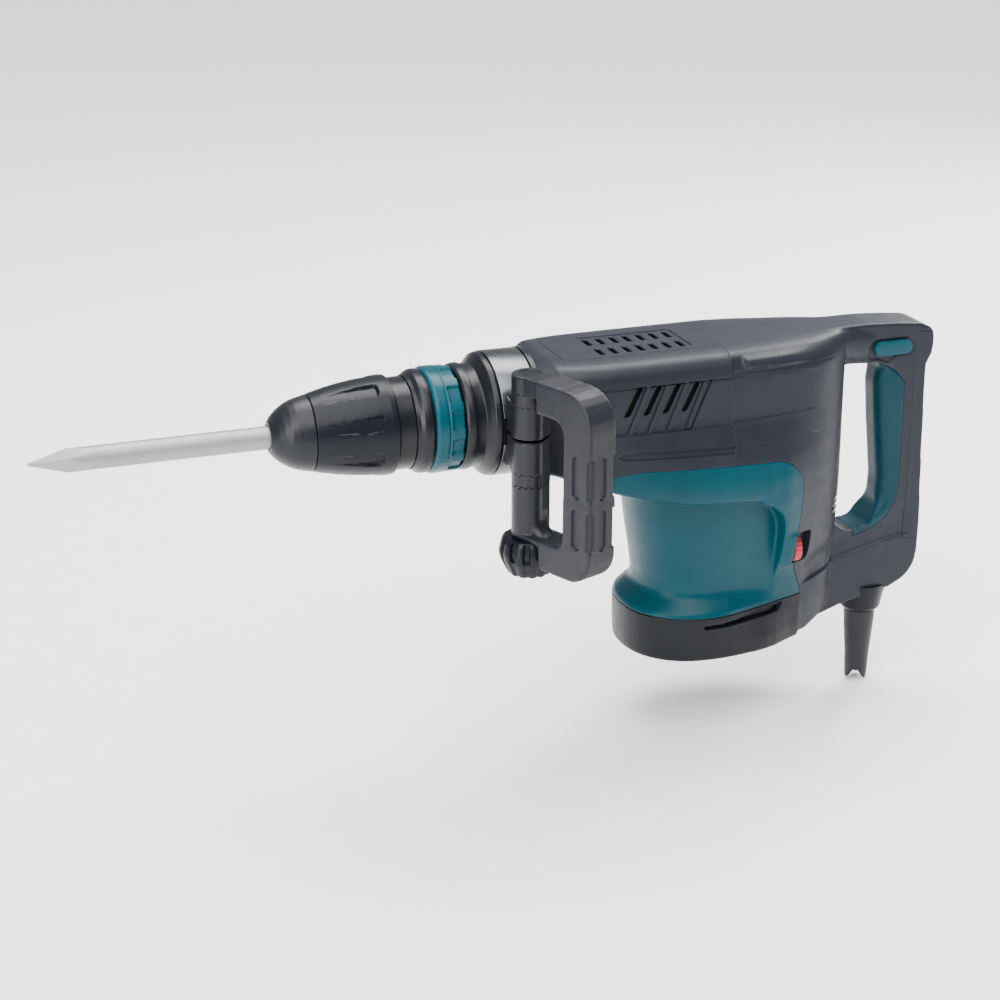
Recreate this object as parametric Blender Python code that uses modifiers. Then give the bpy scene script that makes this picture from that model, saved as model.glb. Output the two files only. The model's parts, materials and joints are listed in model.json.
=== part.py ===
"""Electric jackhammer: an SDS-max demolition hammer with a bull point chisel.

Everything is laid out in the tool's own frame: the origin is on the tool axis
at the nose, +X runs back towards the rear handle, -Y is the tool's left side
and +Z is up.  One empty carries that frame, so that the part's own origin lies
in the centre of the motor end cap's flat underside.  All lengths are metres.
"""
import math

import bmesh
import bpy
from mathutils import Matrix, Vector

# ---- driving dimensions -------------------------------------------------
NOSE_X = -0.375            # nose of the tool, from the part's origin
AXIS_Z = 0.217             # tool axis above the flat underside
GAP = 0.0003               # play between pieces that rest on each other
RUN = 0.00005              # running clearance of a shaft in its bore

SHANK_R = 0.0090           # SDS-max shank, 18 mm
CHISEL_TIP = -0.1838
SHANK_END = 0.0925
HOLDER_R = 0.0160
COVER_TRAVEL_END = 0.0935
NECK_R = 0.0364
BARREL_BORE_R = 0.0243
LINER_BORE_R = 0.0193
BAND_SEAT_R = 0.0478
BAND_R = 0.0495
CLAMP_X = 0.187            # clamp bolt, along the tool axis
CLAMP_Y = -0.066
CLAMP_R = 0.0142
SEAM_X = 0.3611            # joint between the front and rear housings
REAR_SEAM_X = 0.4255       # joint between the motor housing and the rear housing
CAP_REAR_X = 0.4410        # the same joint at the end cap, where the body is narrower
LID_Z = 0.0250             # joint under the top cover's rounded edge
MOTOR_X = 0.3630
CAP_JOINT_Z = -0.1782
BASE_Z = -AXIS_Z
WALL = 0.0030

MODULE = 0.0019
PINION_TEETH = 8
GEAR_TEETH = 48
PRESSURE_ANGLE = math.radians(25)
CRANK_X = MOTOR_X - MODULE * (PINION_TEETH + GEAR_TEETH) / 2
CRANK_THROW = 0.0150
ROD_LENGTH = 0.0580
WRIST_X = CRANK_X - CRANK_THROW - ROD_LENGTH

HANDLE_HALF = 0.0180
CORD_X = 0.5200
LEVER_X = 0.5260
LEVER_Z = 0.0230
DIAL_X = (0.4242, 0.4322)
DIAL_Y = -0.0455
DIAL_Z = -0.1315
DIAL_R = 0.0115
KNOB_R = 0.0235

for old in list(bpy.data.objects):
    bpy.data.objects.remove(old, do_unlink=True)

PARTS = bpy.data.collections.new("electric_jackhammer")
CUTTERS = bpy.data.collections.new("cutters")
for group in (PARTS, CUTTERS):
    bpy.context.scene.collection.children.link(group)

TOOL_FRAME = bpy.data.objects.new("tool_frame", None)
TOOL_FRAME.location = (NOSE_X, 0, AXIS_Z)
PARTS.objects.link(TOOL_FRAME)


# ---- materials ----------------------------------------------------------
def plain(name, colour, roughness, metallic=0.0):
    material = bpy.data.materials.new(name)
    material.use_nodes = True
    shader = material.node_tree.nodes["Principled BSDF"]
    shader.inputs["Base Color"].default_value = (*colour, 1)
    shader.inputs["Roughness"].default_value = roughness
    shader.inputs["Metallic"].default_value = metallic
    return material


BLACK = plain("black_plastic", (0.030, 0.033, 0.040), 0.45)
TEAL = plain("teal_plastic", (0.0, 0.155, 0.205), 0.35)
RUBBER = plain("black_rubber", (0.022, 0.024, 0.028), 0.75)
TEAL_RUBBER = plain("teal_rubber", (0.0, 0.130, 0.175), 0.6)
PAINTED = plain("black_painted_metal", (0.015, 0.016, 0.018), 0.3, 0.3)
STEEL = plain("steel", (0.55, 0.55, 0.56), 0.3, 1.0)
GREY_STEEL = plain("blasted_steel", (0.33, 0.34, 0.33), 0.5, 1.0)
ALUMINIUM = plain("cast_aluminium", (0.5, 0.5, 0.5), 0.5, 1.0)
COPPER = plain("copper", (0.72, 0.36, 0.2), 0.35, 1.0)
CARBON = plain("carbon", (0.03, 0.03, 0.03), 0.6)
RED = plain("red_plastic", (0.55, 0.02, 0.02), 0.4)
BOARD = plain("board_green", (0.02, 0.16, 0.06), 0.5)
LENS = plain("lens", (0.5, 0.02, 0.02), 0.2)


# ---- shape helpers ------------------------------------------------------
def link(name, mesh, material, location=(0, 0, 0), rotation=(0, 0, 0)):
    thing = bpy.data.objects.new(name, mesh)
    thing.location = location
    thing.rotation_euler = rotation
    thing.parent = TOOL_FRAME
    if material:
        mesh.materials.clear()
        mesh.materials.append(material)
    PARTS.objects.link(thing)
    return thing


def as_cutter(thing):
    """Keep a helper solid out of the part: it only cuts or joins others."""
    if thing.name in PARTS.objects:
        PARTS.objects.unlink(thing)
        CUTTERS.objects.link(thing)
    thing.hide_render = True
    thing.display_type = 'WIRE'
    return thing


def boolean(target, operand, operation):
    step = target.modifiers.new(operand.name, 'BOOLEAN')
    step.operation = operation
    step.object = as_cutter(operand)
    return target


def cut(target, *operands):
    for operand in operands:
        boolean(target, operand, 'DIFFERENCE')
    return target


def join(target, *operands):
    for operand in operands:
        boolean(target, operand, 'UNION')
    return target


def keep(target, *operands):
    for operand in operands:
        boolean(target, operand, 'INTERSECT')
    return target


VISIBLE_STEPS = 24         # facets around the turned pieces that show
BARREL_STEPS = 30
AXES = {'X': (0, math.pi / 2, 0), 'Z': (0, 0, 0), 'Y': (-math.pi / 2, 0, 0)}


def turned(name, outline, material=None, location=(0, 0, 0), axis='X', steps=24):
    """Turn an outline of (height along the axis, radius).

    The outer side is listed with rising height and the bore with falling
    height; an outline that starts and ends on the axis makes a solid piece.
    """
    points = [(radius, 0, height) for height, radius in reversed(outline)]
    closed = outline[0][1] > 0
    edges = [(i, i + 1) for i in range(len(points) - 1)]
    if closed:
        edges.append((len(points) - 1, 0))
    mesh = bpy.data.meshes.new(name)
    mesh.from_pydata(points, edges, [])
    thing = link(name, mesh, material, location, AXES[axis])
    screw = thing.modifiers.new("turn", 'SCREW')
    screw.axis = 'Z'
    screw.steps = screw.render_steps = steps
    screw.use_merge_vertices = True
    screw.merge_threshold = 0.00001
    screw.use_smooth_shade = True
    return thing


def rod(name, low, high, radius, material=None, location=(0, 0, 0), axis='Z', steps=16):
    """A plain round bar between two heights on its axis."""
    outline = [(low, 0), (low, radius), (high, radius), (high, 0)]
    return turned(name, outline, material, location, axis, steps)


def ring(name, low, high, bore, radius, material=None, location=(0, 0, 0), axis='X', steps=16):
    outline = [(low, radius), (high, radius), (high, bore), (low, bore)]
    return turned(name, outline, material, location, axis, steps)


def box(name, low, high, material=None):
    mesh = bpy.data.meshes.new(name)
    form = bmesh.new()
    bmesh.ops.create_cube(form, size=1)
    for vertex in form.verts:
        vertex.co = [low[i] + (vertex.co[i] + 0.5) * (high[i] - low[i]) for i in range(3)]
    form.to_mesh(mesh)
    form.free()
    return link(name, mesh, material)


def rounded(corners, segments=4):
    """Closed outline through corners (x, y, radius), each turned into a short arc."""
    outline = []
    count = len(corners)
    for i, (x, y, radius) in enumerate(corners):
        here = Vector((x, y))
        if radius == 0:
            outline.append(here)
            continue
        back = (Vector(corners[i - 1][:2]) - here).normalized()
        ahead = (Vector(corners[(i + 1) % count][:2]) - here).normalized()
        half = back.angle(ahead) / 2
        centre = here + (back + ahead).normalized() * (radius / math.sin(half))
        start = (here + back * (radius / math.tan(half)) - centre).normalized()
        end = (here + ahead * (radius / math.tan(half)) - centre).normalized()
        for k in range(segments + 1):
            outline.append(centre + start.lerp(end, k / segments).normalized() * radius)
    return outline


def circle(radius, centre=(0, 0), count=24):
    turns = [2 * math.pi * i / count for i in range(count)]
    return [Vector((centre[0] + radius * math.cos(t), centre[1] + radius * math.sin(t)))
            for t in turns]


def solid_from_curve(curve, name, material):
    """Freeze a curve into a welded mesh, so that it can be cut and joined."""
    bpy.context.view_layer.update()
    shape = curve.evaluated_get(bpy.context.evaluated_depsgraph_get())
    mesh = bpy.data.meshes.new_from_object(shape)
    form = bmesh.new()
    form.from_mesh(mesh)
    bmesh.ops.remove_doubles(form, verts=form.verts, dist=0.000002)
    bmesh.ops.recalc_face_normals(form, faces=form.faces)
    form.to_mesh(mesh)
    form.free()
    location, rotation = tuple(curve.location), tuple(curve.rotation_euler)
    bpy.data.objects.remove(curve, do_unlink=True)
    mesh.name = name
    return link(name, mesh, material, location, rotation)


def plate(name, outlines, low, high, material=None, across='Z', location=(0, 0, 0), turn=0.0):
    """Flat outlines, the first around and the others as holes, given thickness.

    across 'Z' reads an outline as (x, y); across 'Y' reads it as (x, z).
    """
    curve = bpy.data.curves.new(name + "_outline", 'CURVE')
    curve.dimensions = '2D'
    curve.fill_mode = 'BOTH'
    curve.extrude = (high - low) / 2
    for outline in outlines:
        spline = curve.splines.new('POLY')
        spline.points.add(len(outline) - 1)
        for point, (u, v) in zip(spline.points, outline):
            point.co = (u, v, 0, 1)
        spline.use_cyclic_u = True
    holder = bpy.data.objects.new(name + "_outline", curve)
    PARTS.objects.link(holder)
    middle = (low + high) / 2
    if across == 'Z':
        holder.location = Vector(location) + Vector((0, 0, middle))
        holder.rotation_euler = (0, 0, turn)
    else:
        holder.location = Vector(location) + Vector((0, middle, 0))
        holder.rotation_euler = (math.pi / 2, 0, turn)
    return solid_from_curve(holder, name, material)


def soften(thing, width, segments=2, angle=40):
    bevel = thing.modifiers.new("edges", 'BEVEL')
    bevel.width = width
    bevel.segments = segments
    bevel.limit_method = 'ANGLE'
    bevel.angle_limit = math.radians(angle)
    bevel.use_clamp_overlap = True
    return thing


def loft(name, stations, material=None):
    """Skin between unlike half sections (half width, height), mirrored in Y."""
    form = bmesh.new()
    rings = []
    for x, half in stations:
        left = [(-y, z) for y, z in reversed(half) if y > 0]
        rings.append([form.verts.new((x, y, z)) for y, z in half + left])
    count = len(rings[0])
    for near, far in zip(rings, rings[1:]):
        for i in range(count):
            j = (i + 1) % count
            form.faces.new((near[i], near[j], far[j], far[i]))
    # The skin's four-sided faces are warped, so they are split before any cut.
    bmesh.ops.triangulate(form, faces=form.faces)
    form.faces.new(rings[0])
    form.faces.new(rings[-1])
    bmesh.ops.recalc_face_normals(form, faces=form.faces)
    mesh = bpy.data.meshes.new(name)
    form.to_mesh(mesh)
    form.free()
    return link(name, mesh, material)


# ---- outer form of the body --------------------------------------------
# Along the body: (x, top, half width of the rounded top, of the shoulder, bottom).
BODY_STATIONS = (
    (0.2075, 0.0390, 0.0460, 0.0340, -0.0460),
    (0.2200, 0.0454, 0.0510, 0.0420, -0.0475),
    (0.2420, 0.0454, 0.0560, 0.0520, -0.0550),
    (0.2625, 0.0454, 0.0575, 0.0620, -0.0600),
    (0.3000, 0.0454, 0.0580, 0.0705, -0.0685),
    (0.3610, 0.0454, 0.0580, 0.0742, -0.0778),
    (0.4000, 0.0450, 0.0578, 0.0735, -0.0797),
    (0.4300, 0.0441, 0.0535, 0.0550, -0.0790),
)
# Down the rear: (x, top, half width of the top, at the dial, at the foot, bottom).
REAR_STATIONS = (
    (0.4060, 0.0453, 0.0570, 0.0610, 0.0500, -0.2130),
    (0.4300, 0.0450, 0.0540, 0.0570, 0.0430, -0.2130),
    (0.4520, 0.0447, 0.0470, 0.0450, 0.0330, -0.2120),
    (0.4680, 0.0445, 0.0360, 0.0330, 0.0230, -0.2060),
    (0.4765, 0.0443, 0.0280, 0.0250, 0.0190, -0.1980),
)


def body_half(top, upper, shoulder, bottom, inset=0.0):
    """Half section of the upper body, from the flat top down to the underside."""
    knee = 0.003
    half = [(0, top), (0.55 * upper, top), (0.76 * upper, top - 0.0014),
            (0.905 * upper, top - 0.0046), (0.983 * upper, top - 0.0110),
            (upper, 0.0260), (upper + 0.0015, knee)]
    for drop, spread in ((0.19, 0.17), (0.36, 0.55), (0.56, 0.78), (0.80, 1.0), (0.91, 1.0)):
        half.append((upper + spread * (shoulder - upper), knee + drop * (bottom - knee)))
    half += [(shoulder - 0.0100, bottom), (0, bottom)]
    return inset_half(half, top, bottom, inset)


def rear_half(top, upper, dial, foot, bottom, inset=0.0):
    """Half section of the tall rear part of the body."""
    half = [(0, top), (0.60 * upper, top), (0.90 * upper, top - 0.0050), (upper, 0.0260),
            (1.03 * upper, -0.0250), (dial, -0.1000), (0.45 * dial + 0.55 * foot, -0.1650),
            (foot, bottom + 0.0100), (foot - 0.0040, bottom), (0, bottom)]
    return inset_half(half, top, bottom, inset)


def inset_half(half, top, bottom, inset):
    if not inset:
        return half
    ceiling, floor = top - inset, bottom + inset
    return [(max(y - inset, 0), min(max(z, floor), ceiling)) for y, z in half]


def body_form(name, inset=0.0, material=None):
    stations = [(x, body_half(*sizes, inset)) for x, *sizes in BODY_STATIONS]
    return loft(name, stations, material)


def rear_form(name, inset=0.0, material=None):
    stations = [(x, rear_half(*sizes, inset)) for x, *sizes in REAR_STATIONS]
    if inset:
        x, half = stations[-1]
        stations[-1] = (x - inset, half)
    return loft(name, stations, material)


def motor_region(name, grow):
    """Side view of what the motor housing and its end cap take out of the body."""
    rear = REAR_SEAM_X + grow
    top = -0.0402 + grow
    corners = ((0.2300, -0.0480 + grow, 0), (0.2600, -0.0455 + grow, 0.010), (0.2760, top, 0.010),
               (rear, top, 0.0300), (rear, -0.1390, 0), (CAP_REAR_X + grow, -0.1740, 0),
               (CAP_REAR_X + grow, -0.2400, 0), (0.2300, -0.2400, 0))
    return plate(name, [rounded(corners, 5)], -0.1000, 0.1000, across='Y')


def base_outline(grow=0.0, reach=0.0):
    """Plan of the foot: round at the front, drawn in towards the rear seam."""
    radius = 0.0600 + grow
    arc = [math.radians(85 + 190 * i / 13) for i in range(14)]
    front = [(MOTOR_X + radius * math.cos(a), radius * math.sin(a)) for a in arc]
    rear = [(0.4040, -0.0510 - grow), (CAP_REAR_X + grow + reach, -0.0370 - grow + reach / 3)]
    return front + rear + [(x, -y) for x, y in reversed(rear)]


# ---- tool holder and chisel --------------------------------------------
RETAINER_X = (0.0490, 0.0630)
RETAINER_R = 0.0040
RETAINER_Z = 0.0112


def slot(name, start, end, width, low, high, side):
    """Cutter for a straight slot in the upper (+1) or lower (-1) side of a bar."""
    heights = sorted((side * low, side * high))
    return box(name, (start, -width / 2, heights[0]), (end, width / 2, heights[1]))


def bull_point_chisel():
    outline = [(CHISEL_TIP - 0.001, 0), (CHISEL_TIP - 0.001, SHANK_R), (SHANK_END - 0.002, SHANK_R),
               (SHANK_END, SHANK_R - 0.002), (SHANK_END, 0)]
    chisel = turned("bull_point_chisel", outline, GREY_STEEL)
    mesh = bpy.data.meshes.new("point_flats")
    form = bmesh.new()
    length = 0.3000
    spread = SHANK_R * math.sqrt(2) * length / 0.0438
    bmesh.ops.create_cone(form, cap_ends=True, segments=4, radius1=spread, radius2=0.0008,
                          depth=length, matrix=Matrix.Rotation(math.radians(20), 4, 'Z'))
    form.to_mesh(mesh)
    form.free()
    flats = link("point_flats", mesh, None, (CHISEL_TIP + length / 2, 0, 0), (0, -math.pi / 2, 0))
    keep(chisel, flats)
    for side in (1, -1):
        cut(chisel, slot(f"lock_groove_{side}", 0.0360, 0.0760, 0.0086, 0.0066, 0.0200, side))
    return chisel


def tool_holder():
    outline = [(0.0040, HOLDER_R), (0.0915, HOLDER_R), (0.0915, 0.0240), (0.1120, 0.0240),
               (0.1120, SHANK_R + GAP), (0.0040, SHANK_R + GAP)]
    holder = turned("tool_holder", outline, STEEL)
    for side in (1, -1):
        window = slot(f"retainer_window_{side}", RETAINER_X[0] - GAP, RETAINER_X[1] + GAP,
                      2 * RETAINER_R + 0.0006, 0.0040, 0.0200, side)
        cut(holder, window)
    return holder


def tool_retainers():
    for name, side in (("tool_retainer_upper", 1), ("tool_retainer_lower", -1)):
        rod(name, RETAINER_X[0], RETAINER_X[1], RETAINER_R, STEEL,
            (0, 0, side * RETAINER_Z), 'X', 16)


def chuck_front():
    cap = [(-0.0015, 0.0120), (0.0025, 0.0175), (0.0060, 0.0205), (0.0127, 0.0248),
           (0.0226, 0.0283), (0.0297, 0.0298), (0.0297, HOLDER_R + GAP),
           (0.0037, HOLDER_R + GAP), (0.0037, 0.0094), (-0.0015, 0.0094)]
    turned("dust_cap", cap, RUBBER, steps=VISIBLE_STEPS)
    cover = [(0.0300, 0.0299), (0.0388, 0.0323), (0.0486, 0.0345), (0.0584, 0.0363),
             (0.0680, 0.0377), (0.0780, 0.0386), (0.0900, 0.0394), (COVER_TRAVEL_END, 0.0388),
             (COVER_TRAVEL_END, 0.0368), (0.0850, 0.0368), (0.0620, 0.0335), (0.0580, 0.0310),
             (0.0580, 0.0220), (0.0530, 0.0220), (0.0530, 0.0310), (0.0330, 0.0270), (0.0300, 0.0270)]
    turned("release_cover", cover, BLACK, steps=VISIBLE_STEPS)
    release = [(0.0440, 0.0213), (0.0600, 0.0213), (0.0600, 0.0270), (0.0650, 0.0270),
               (0.0650, 0.0164), (0.0440, 0.0164)]
    turned("release_ring", release, STEEL)


def release_spring():
    """Compression spring between the release ring and the holder's shoulder."""
    turns, per_turn, wire, radius = 4, 8, 0.0010, 0.0205
    start, end = 0.0650 + GAP + wire, 0.0915 - GAP - wire
    curve = bpy.data.curves.new("release_spring_wire", 'CURVE')
    curve.dimensions = '3D'
    curve.bevel_depth = wire
    curve.bevel_resolution = 0
    curve.use_fill_caps = True
    spline = curve.splines.new('POLY')
    count = turns * per_turn
    spline.points.add(count)
    for i, point in enumerate(spline.points):
        turn = 2 * math.pi * i / per_turn
        along = start + (end - start) * i / count
        point.co = (along, radius * math.cos(turn), radius * math.sin(turn), 1)
    holder = bpy.data.objects.new("release_spring_wire", curve)
    PARTS.objects.link(holder)
    solid_from_curve(holder, "release_spring", STEEL)


def change_ring():
    neck = [(0.0925, NECK_R), (0.1065, NECK_R), (0.1065, 0.0243), (0.0925, 0.0243)]
    turned("holder_neck", neck, PAINTED)
    flange = [(0.1070, 0.0380), (0.1105, 0.0402), (0.1140, 0.0410), (0.1190, 0.0410),
              (0.1195, 0.0400), (0.1208, 0.0400), (0.1208, 0.0300), (0.1130, 0.0300),
              (0.1130, NECK_R + 2 * GAP), (0.1070, NECK_R + 2 * GAP)]
    turned("change_ring_flange", flange, BLACK, steps=VISIBLE_STEPS)
    band = [(0.1211, 0.0418), (0.1235, 0.0422), (0.1310, 0.0422), (0.1318, 0.0414),
            (0.1328, 0.0420), (0.1436, 0.0420), (0.1445, 0.0410), (0.1445, 0.0300),
            (0.1211, 0.0300)]
    turned("change_ring", band, TEAL, steps=VISIBLE_STEPS)


# ---- barrel and striking mechanism -------------------------------------
def barrel():
    outline = [(0.1075, 0.0297), (0.1456, 0.0297), (0.1456, 0.0406), (0.1500, 0.0423),
               (0.1534, 0.0424), (0.1560, 0.0414), (0.1610, 0.0413), (0.1640, 0.0450),
               (0.1700, 0.0492), (0.1718, 0.0492), (0.1718, BAND_SEAT_R), (0.2025, BAND_SEAT_R),
               (0.2025, 0.0500), (0.2070, 0.0500),
               (0.2070, BARREL_BORE_R), (0.1075, BARREL_BORE_R)]
    turned("barrel", outline, PAINTED, steps=BARREL_STEPS)
    ring("cylinder_liner", 0.1125, 0.2750, LINER_BORE_R, BARREL_BORE_R - GAP, STEEL, steps=24)
    guide = LINER_BORE_R - GAP
    ring("impact_bolt_guide", 0.1128, 0.1420, HOLDER_R + RUN, guide, STEEL, steps=24)


def striking_parts():
    bolt = [(0.0975, 0), (0.0975, SHANK_R - 0.0002), (0.1150, SHANK_R - 0.0002), (0.1150, HOLDER_R),
            (0.1400, HOLDER_R), (0.1400, 0.0100), (0.1500, 0.0100), (0.1500, 0)]
    turned("impact_bolt", bolt, STEEL)
    bore = LINER_BORE_R - RUN
    rod("striker", 0.1650, 0.2000, bore, STEEL, axis='X', steps=24)
    front, rear = WRIST_X - 0.0260, WRIST_X + 0.0100
    cup = [(front, 0), (front, bore), (rear, bore), (rear, 0.0145), (front + 0.0120, 0.0145),
           (front + 0.0120, 0)]
    piston = turned("piston", cup, ALUMINIUM)
    pin_r = 0.0044
    cut(piston, rod("wrist_pin_hole", -0.0300, 0.0300, pin_r + 0.0001, location=(WRIST_X, 0, 0)))
    rod("wrist_pin", -0.0180, 0.0180, pin_r, STEEL, (WRIST_X, 0, 0))
    big = (WRIST_X + ROD_LENGTH, 0)
    steps = 6
    around = []
    for (x, _), radius, start in ((big, 0.0125, -math.pi / 2), ((WRIST_X, 0), 0.0090, math.pi / 2)):
        turns = [start + math.pi * i / steps for i in range(steps + 1)]
        around += [(x + radius * math.cos(t), radius * math.sin(t)) for t in turns]
    holes = [circle(pin_r + 0.0001, (WRIST_X, 0), 16), circle(0.0064, big, 16)]
    plate("connecting_rod", [around] + holes, -0.0050, 0.0050, STEEL)


# ---- gears, crank and motor --------------------------------------------
def involute_gear(teeth, addendum, dedendum, thickness, phase):
    """Outline of a spur gear with involute flanks; thickness is a share of the pitch."""
    pitch_r = MODULE * teeth / 2
    base_r = pitch_r * math.cos(PRESSURE_ANGLE)
    tip, root = pitch_r + addendum * MODULE, pitch_r - dedendum * MODULE

    def roll(radius):
        angle = math.acos(min(1, base_r / radius))
        return math.tan(angle) - angle

    half_tooth = math.pi * thickness / teeth + roll(pitch_r)
    # The big gear's flanks are almost straight, so they need no middle point.
    middle = [pitch_r] if teeth < 20 else []
    heights = [max(root, base_r)] + middle + [tip]
    flank = [(radius, half_tooth - roll(radius)) for radius in heights]
    tooth = [(root, -half_tooth)] + [(r, -a) for r, a in flank]
    tooth += [(r, a) for r, a in reversed(flank)] + [(root, half_tooth)]
    if root > base_r:
        tooth = tooth[1:-1]
    outline = []
    for i in range(teeth):
        centre = phase + 2 * math.pi * i / teeth
        outline += [(r * math.cos(centre + a), r * math.sin(centre + a)) for r, a in tooth]
    return outline


def crank():
    gear = involute_gear(GEAR_TEETH, 0.70, 1.20, 0.46, math.pi / GEAR_TEETH)
    shaft_r = 0.0080
    plate("crank_gear", [gear, circle(shaft_r + GAP)], -0.0360, -0.0260, STEEL,
          location=(CRANK_X, 0, 0))
    profile = [(-0.0480, 0), (-0.0480, shaft_r), (-0.0200, shaft_r), (-0.0200, 0.0235),
               (-0.0120, 0.0235), (-0.0120, 0)]
    shaft = turned("crankshaft", profile, STEEL, (CRANK_X, 0, 0), 'Z')
    join(shaft, rod("crank_pin", -0.0150, -0.0056, 0.0060, location=(CRANK_X - CRANK_THROW, 0, 0)))
    ring("crank_bearing_upper", -0.0255, -0.0205, shaft_r + GAP, 0.0190, STEEL,
         (CRANK_X, 0, 0), 'Z')
    ring("crank_bearing_lower", -0.0475, -0.0370, shaft_r + GAP, 0.0150, STEEL,
         (CRANK_X, 0, 0), 'Z')


def gear_plate():
    """Cast plate that carries the crank and the upper end of the armature."""
    corners = ((0.2680, -0.0460, 0.012), (0.4020, -0.0460, 0.012), (0.4020, 0.0460, 0.012),
               (0.2680, 0.0460, 0.012))
    holes = [circle(0.0153, (CRANK_X, 0)), circle(0.0133, (MOTOR_X, 0))]
    plate("gear_plate", [rounded(corners)] + holes, -0.0560, -0.0400, ALUMINIUM)


def motor():
    shaft_r = 0.0050
    spindle = [(-0.2020, 0), (-0.2020, shaft_r), (-0.1500, shaft_r), (-0.1500, 0.0248),
               (-0.0970, 0.0248), (-0.0970, shaft_r), (-0.0240, shaft_r), (-0.0240, 0)]
    at = (MOTOR_X, 0, 0)
    turned("armature", spindle, STEEL, at, 'Z')
    ring("commutator", -0.1800, -0.1600, shaft_r + GAP, 0.0145, COPPER, at, 'Z')
    pinion = involute_gear(PINION_TEETH, 0.90, 1.05, 0.44, 0.0)
    plate("motor_pinion", [pinion, circle(shaft_r + GAP / 2, count=16)], -0.0370, -0.0250, STEEL,
          location=at)
    ring("field_core", -0.1500, -0.0970, 0.0256, 0.0425, GREY_STEEL, at, 'Z')
    ring("armature_bearing_upper", -0.0540, -0.0440, shaft_r + GAP, 0.0130, STEEL, at, 'Z')
    ring("armature_bearing_lower", -0.2010, -0.1910, shaft_r + GAP, 0.0110, STEEL, at, 'Z')
    fan = ring("cooling_fan", -0.0840, -0.0810, shaft_r + GAP, 0.0380, BLACK, at, 'Z')
    join(fan, ring("fan_hub", -0.0825, -0.0680, shaft_r + GAP, 0.0110, None, at, 'Z', 16))
    blades = 7
    for i in range(blades):
        turn = 2 * math.pi * i / blades
        blade = box(f"fan_blade_{i}", (0.0100, -0.0008, -0.0820), (0.0370, 0.0008, -0.0690))
        blade.location = at
        blade.rotation_euler = (0, 0, turn)
        join(fan, blade)


def brush_gear():
    """Two carbon brushes in their holders, on the left and right of the commutator."""
    for side, word in ((-1, "left"), (1, "right")):
        low, high = sorted((side * 0.0150, side * 0.0300))
        box(f"carbon_brush_{word}", (MOTOR_X - 0.0040, low, -0.1740), (MOTOR_X + 0.0040, high, -0.1660),
            CARBON)
        low, high = sorted((side * 0.0190, side * 0.0390))
        holder = box(f"brush_holder_{word}", (MOTOR_X - 0.0065, low, -0.1765),
                     (MOTOR_X + 0.0065, high, -0.1635), ALUMINIUM)
        low, high = sorted((side * 0.0100, side * 0.0370))
        cut(holder, box(f"brush_way_{word}", (MOTOR_X - 0.0043, low, -0.1743),
                        (MOTOR_X + 0.0043, high, -0.1657)))


# ---- housings -----------------------------------------------------------
def side_vents(name):
    """Four slanted slots on each side, low ends towards the nose."""
    cutters = []
    for side in (-1, 1):
        for i in range(4):
            x = 0.2690 + 0.0162 * i
            slant = ((x, 0.0030), (x + 0.0052, 0.0030), (x + 0.0192, 0.0225), (x + 0.0140, 0.0225))
            middle = side * 0.0560
            slot_name = f"{name}_{i}_{side}"
            cutters.append(plate(slot_name, [slant], middle - 0.012, middle + 0.012, across='Y'))
    return cutters


def top_vents():
    """Seven slots in two rows, either side of a centre rib."""
    cutters = []
    for i in range(7):
        x = 0.2575 + 0.0120 * i
        for row, (near, far) in enumerate(((-0.0225, -0.0025), (0.0025, 0.0195))):
            cutters.append(box(f"top_vent_{i}_{row}", (x, near, 0.0300), (x + 0.0052, far, 0.0600)))
    return cutters


def front_housings():
    far = 0.5
    lid = body_form("top_cover", material=BLACK)
    keep(lid, box("above_lid_joint", (0.1, -far, LID_Z), (SEAM_X - GAP / 2, far, far)))
    lid_hollow = body_form("lid_hollow", WALL)
    cut(lid, keep(lid_hollow, box("behind_lid_front", (0.2125, -far, -far), (far, far, far))))
    cut(lid, *top_vents())

    case = body_form("front_housing", material=BLACK)
    keep(case, box("below_lid_joint", (0.1, -far, -far), (SEAM_X - GAP / 2, far, LID_Z - GAP)))
    cut(case, motor_region("motor_clear_front", GAP))
    hollow = body_form("front_hollow", WALL)
    cut(case, keep(hollow, box("behind_front_wall", (0.2105, -far, -far), (far, far, far))))
    cut(case, box("lid_opening", (0.2105, -0.0530, 0.0), (far, 0.0530, far)))
    cut(case, rod("barrel_seat", 0.1, 0.2120, BARREL_BORE_R + GAP / 3, axis='X', steps=24))
    for side in (-1, 1):
        low, high = sorted((side * 0.0672, side * 0.1000))
        cut(case, box(f"step_groove_{side}", (0.2650, low, -0.0312), (far, high, -0.0258)))
    cut(case, *side_vents("side_vent"))


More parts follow.
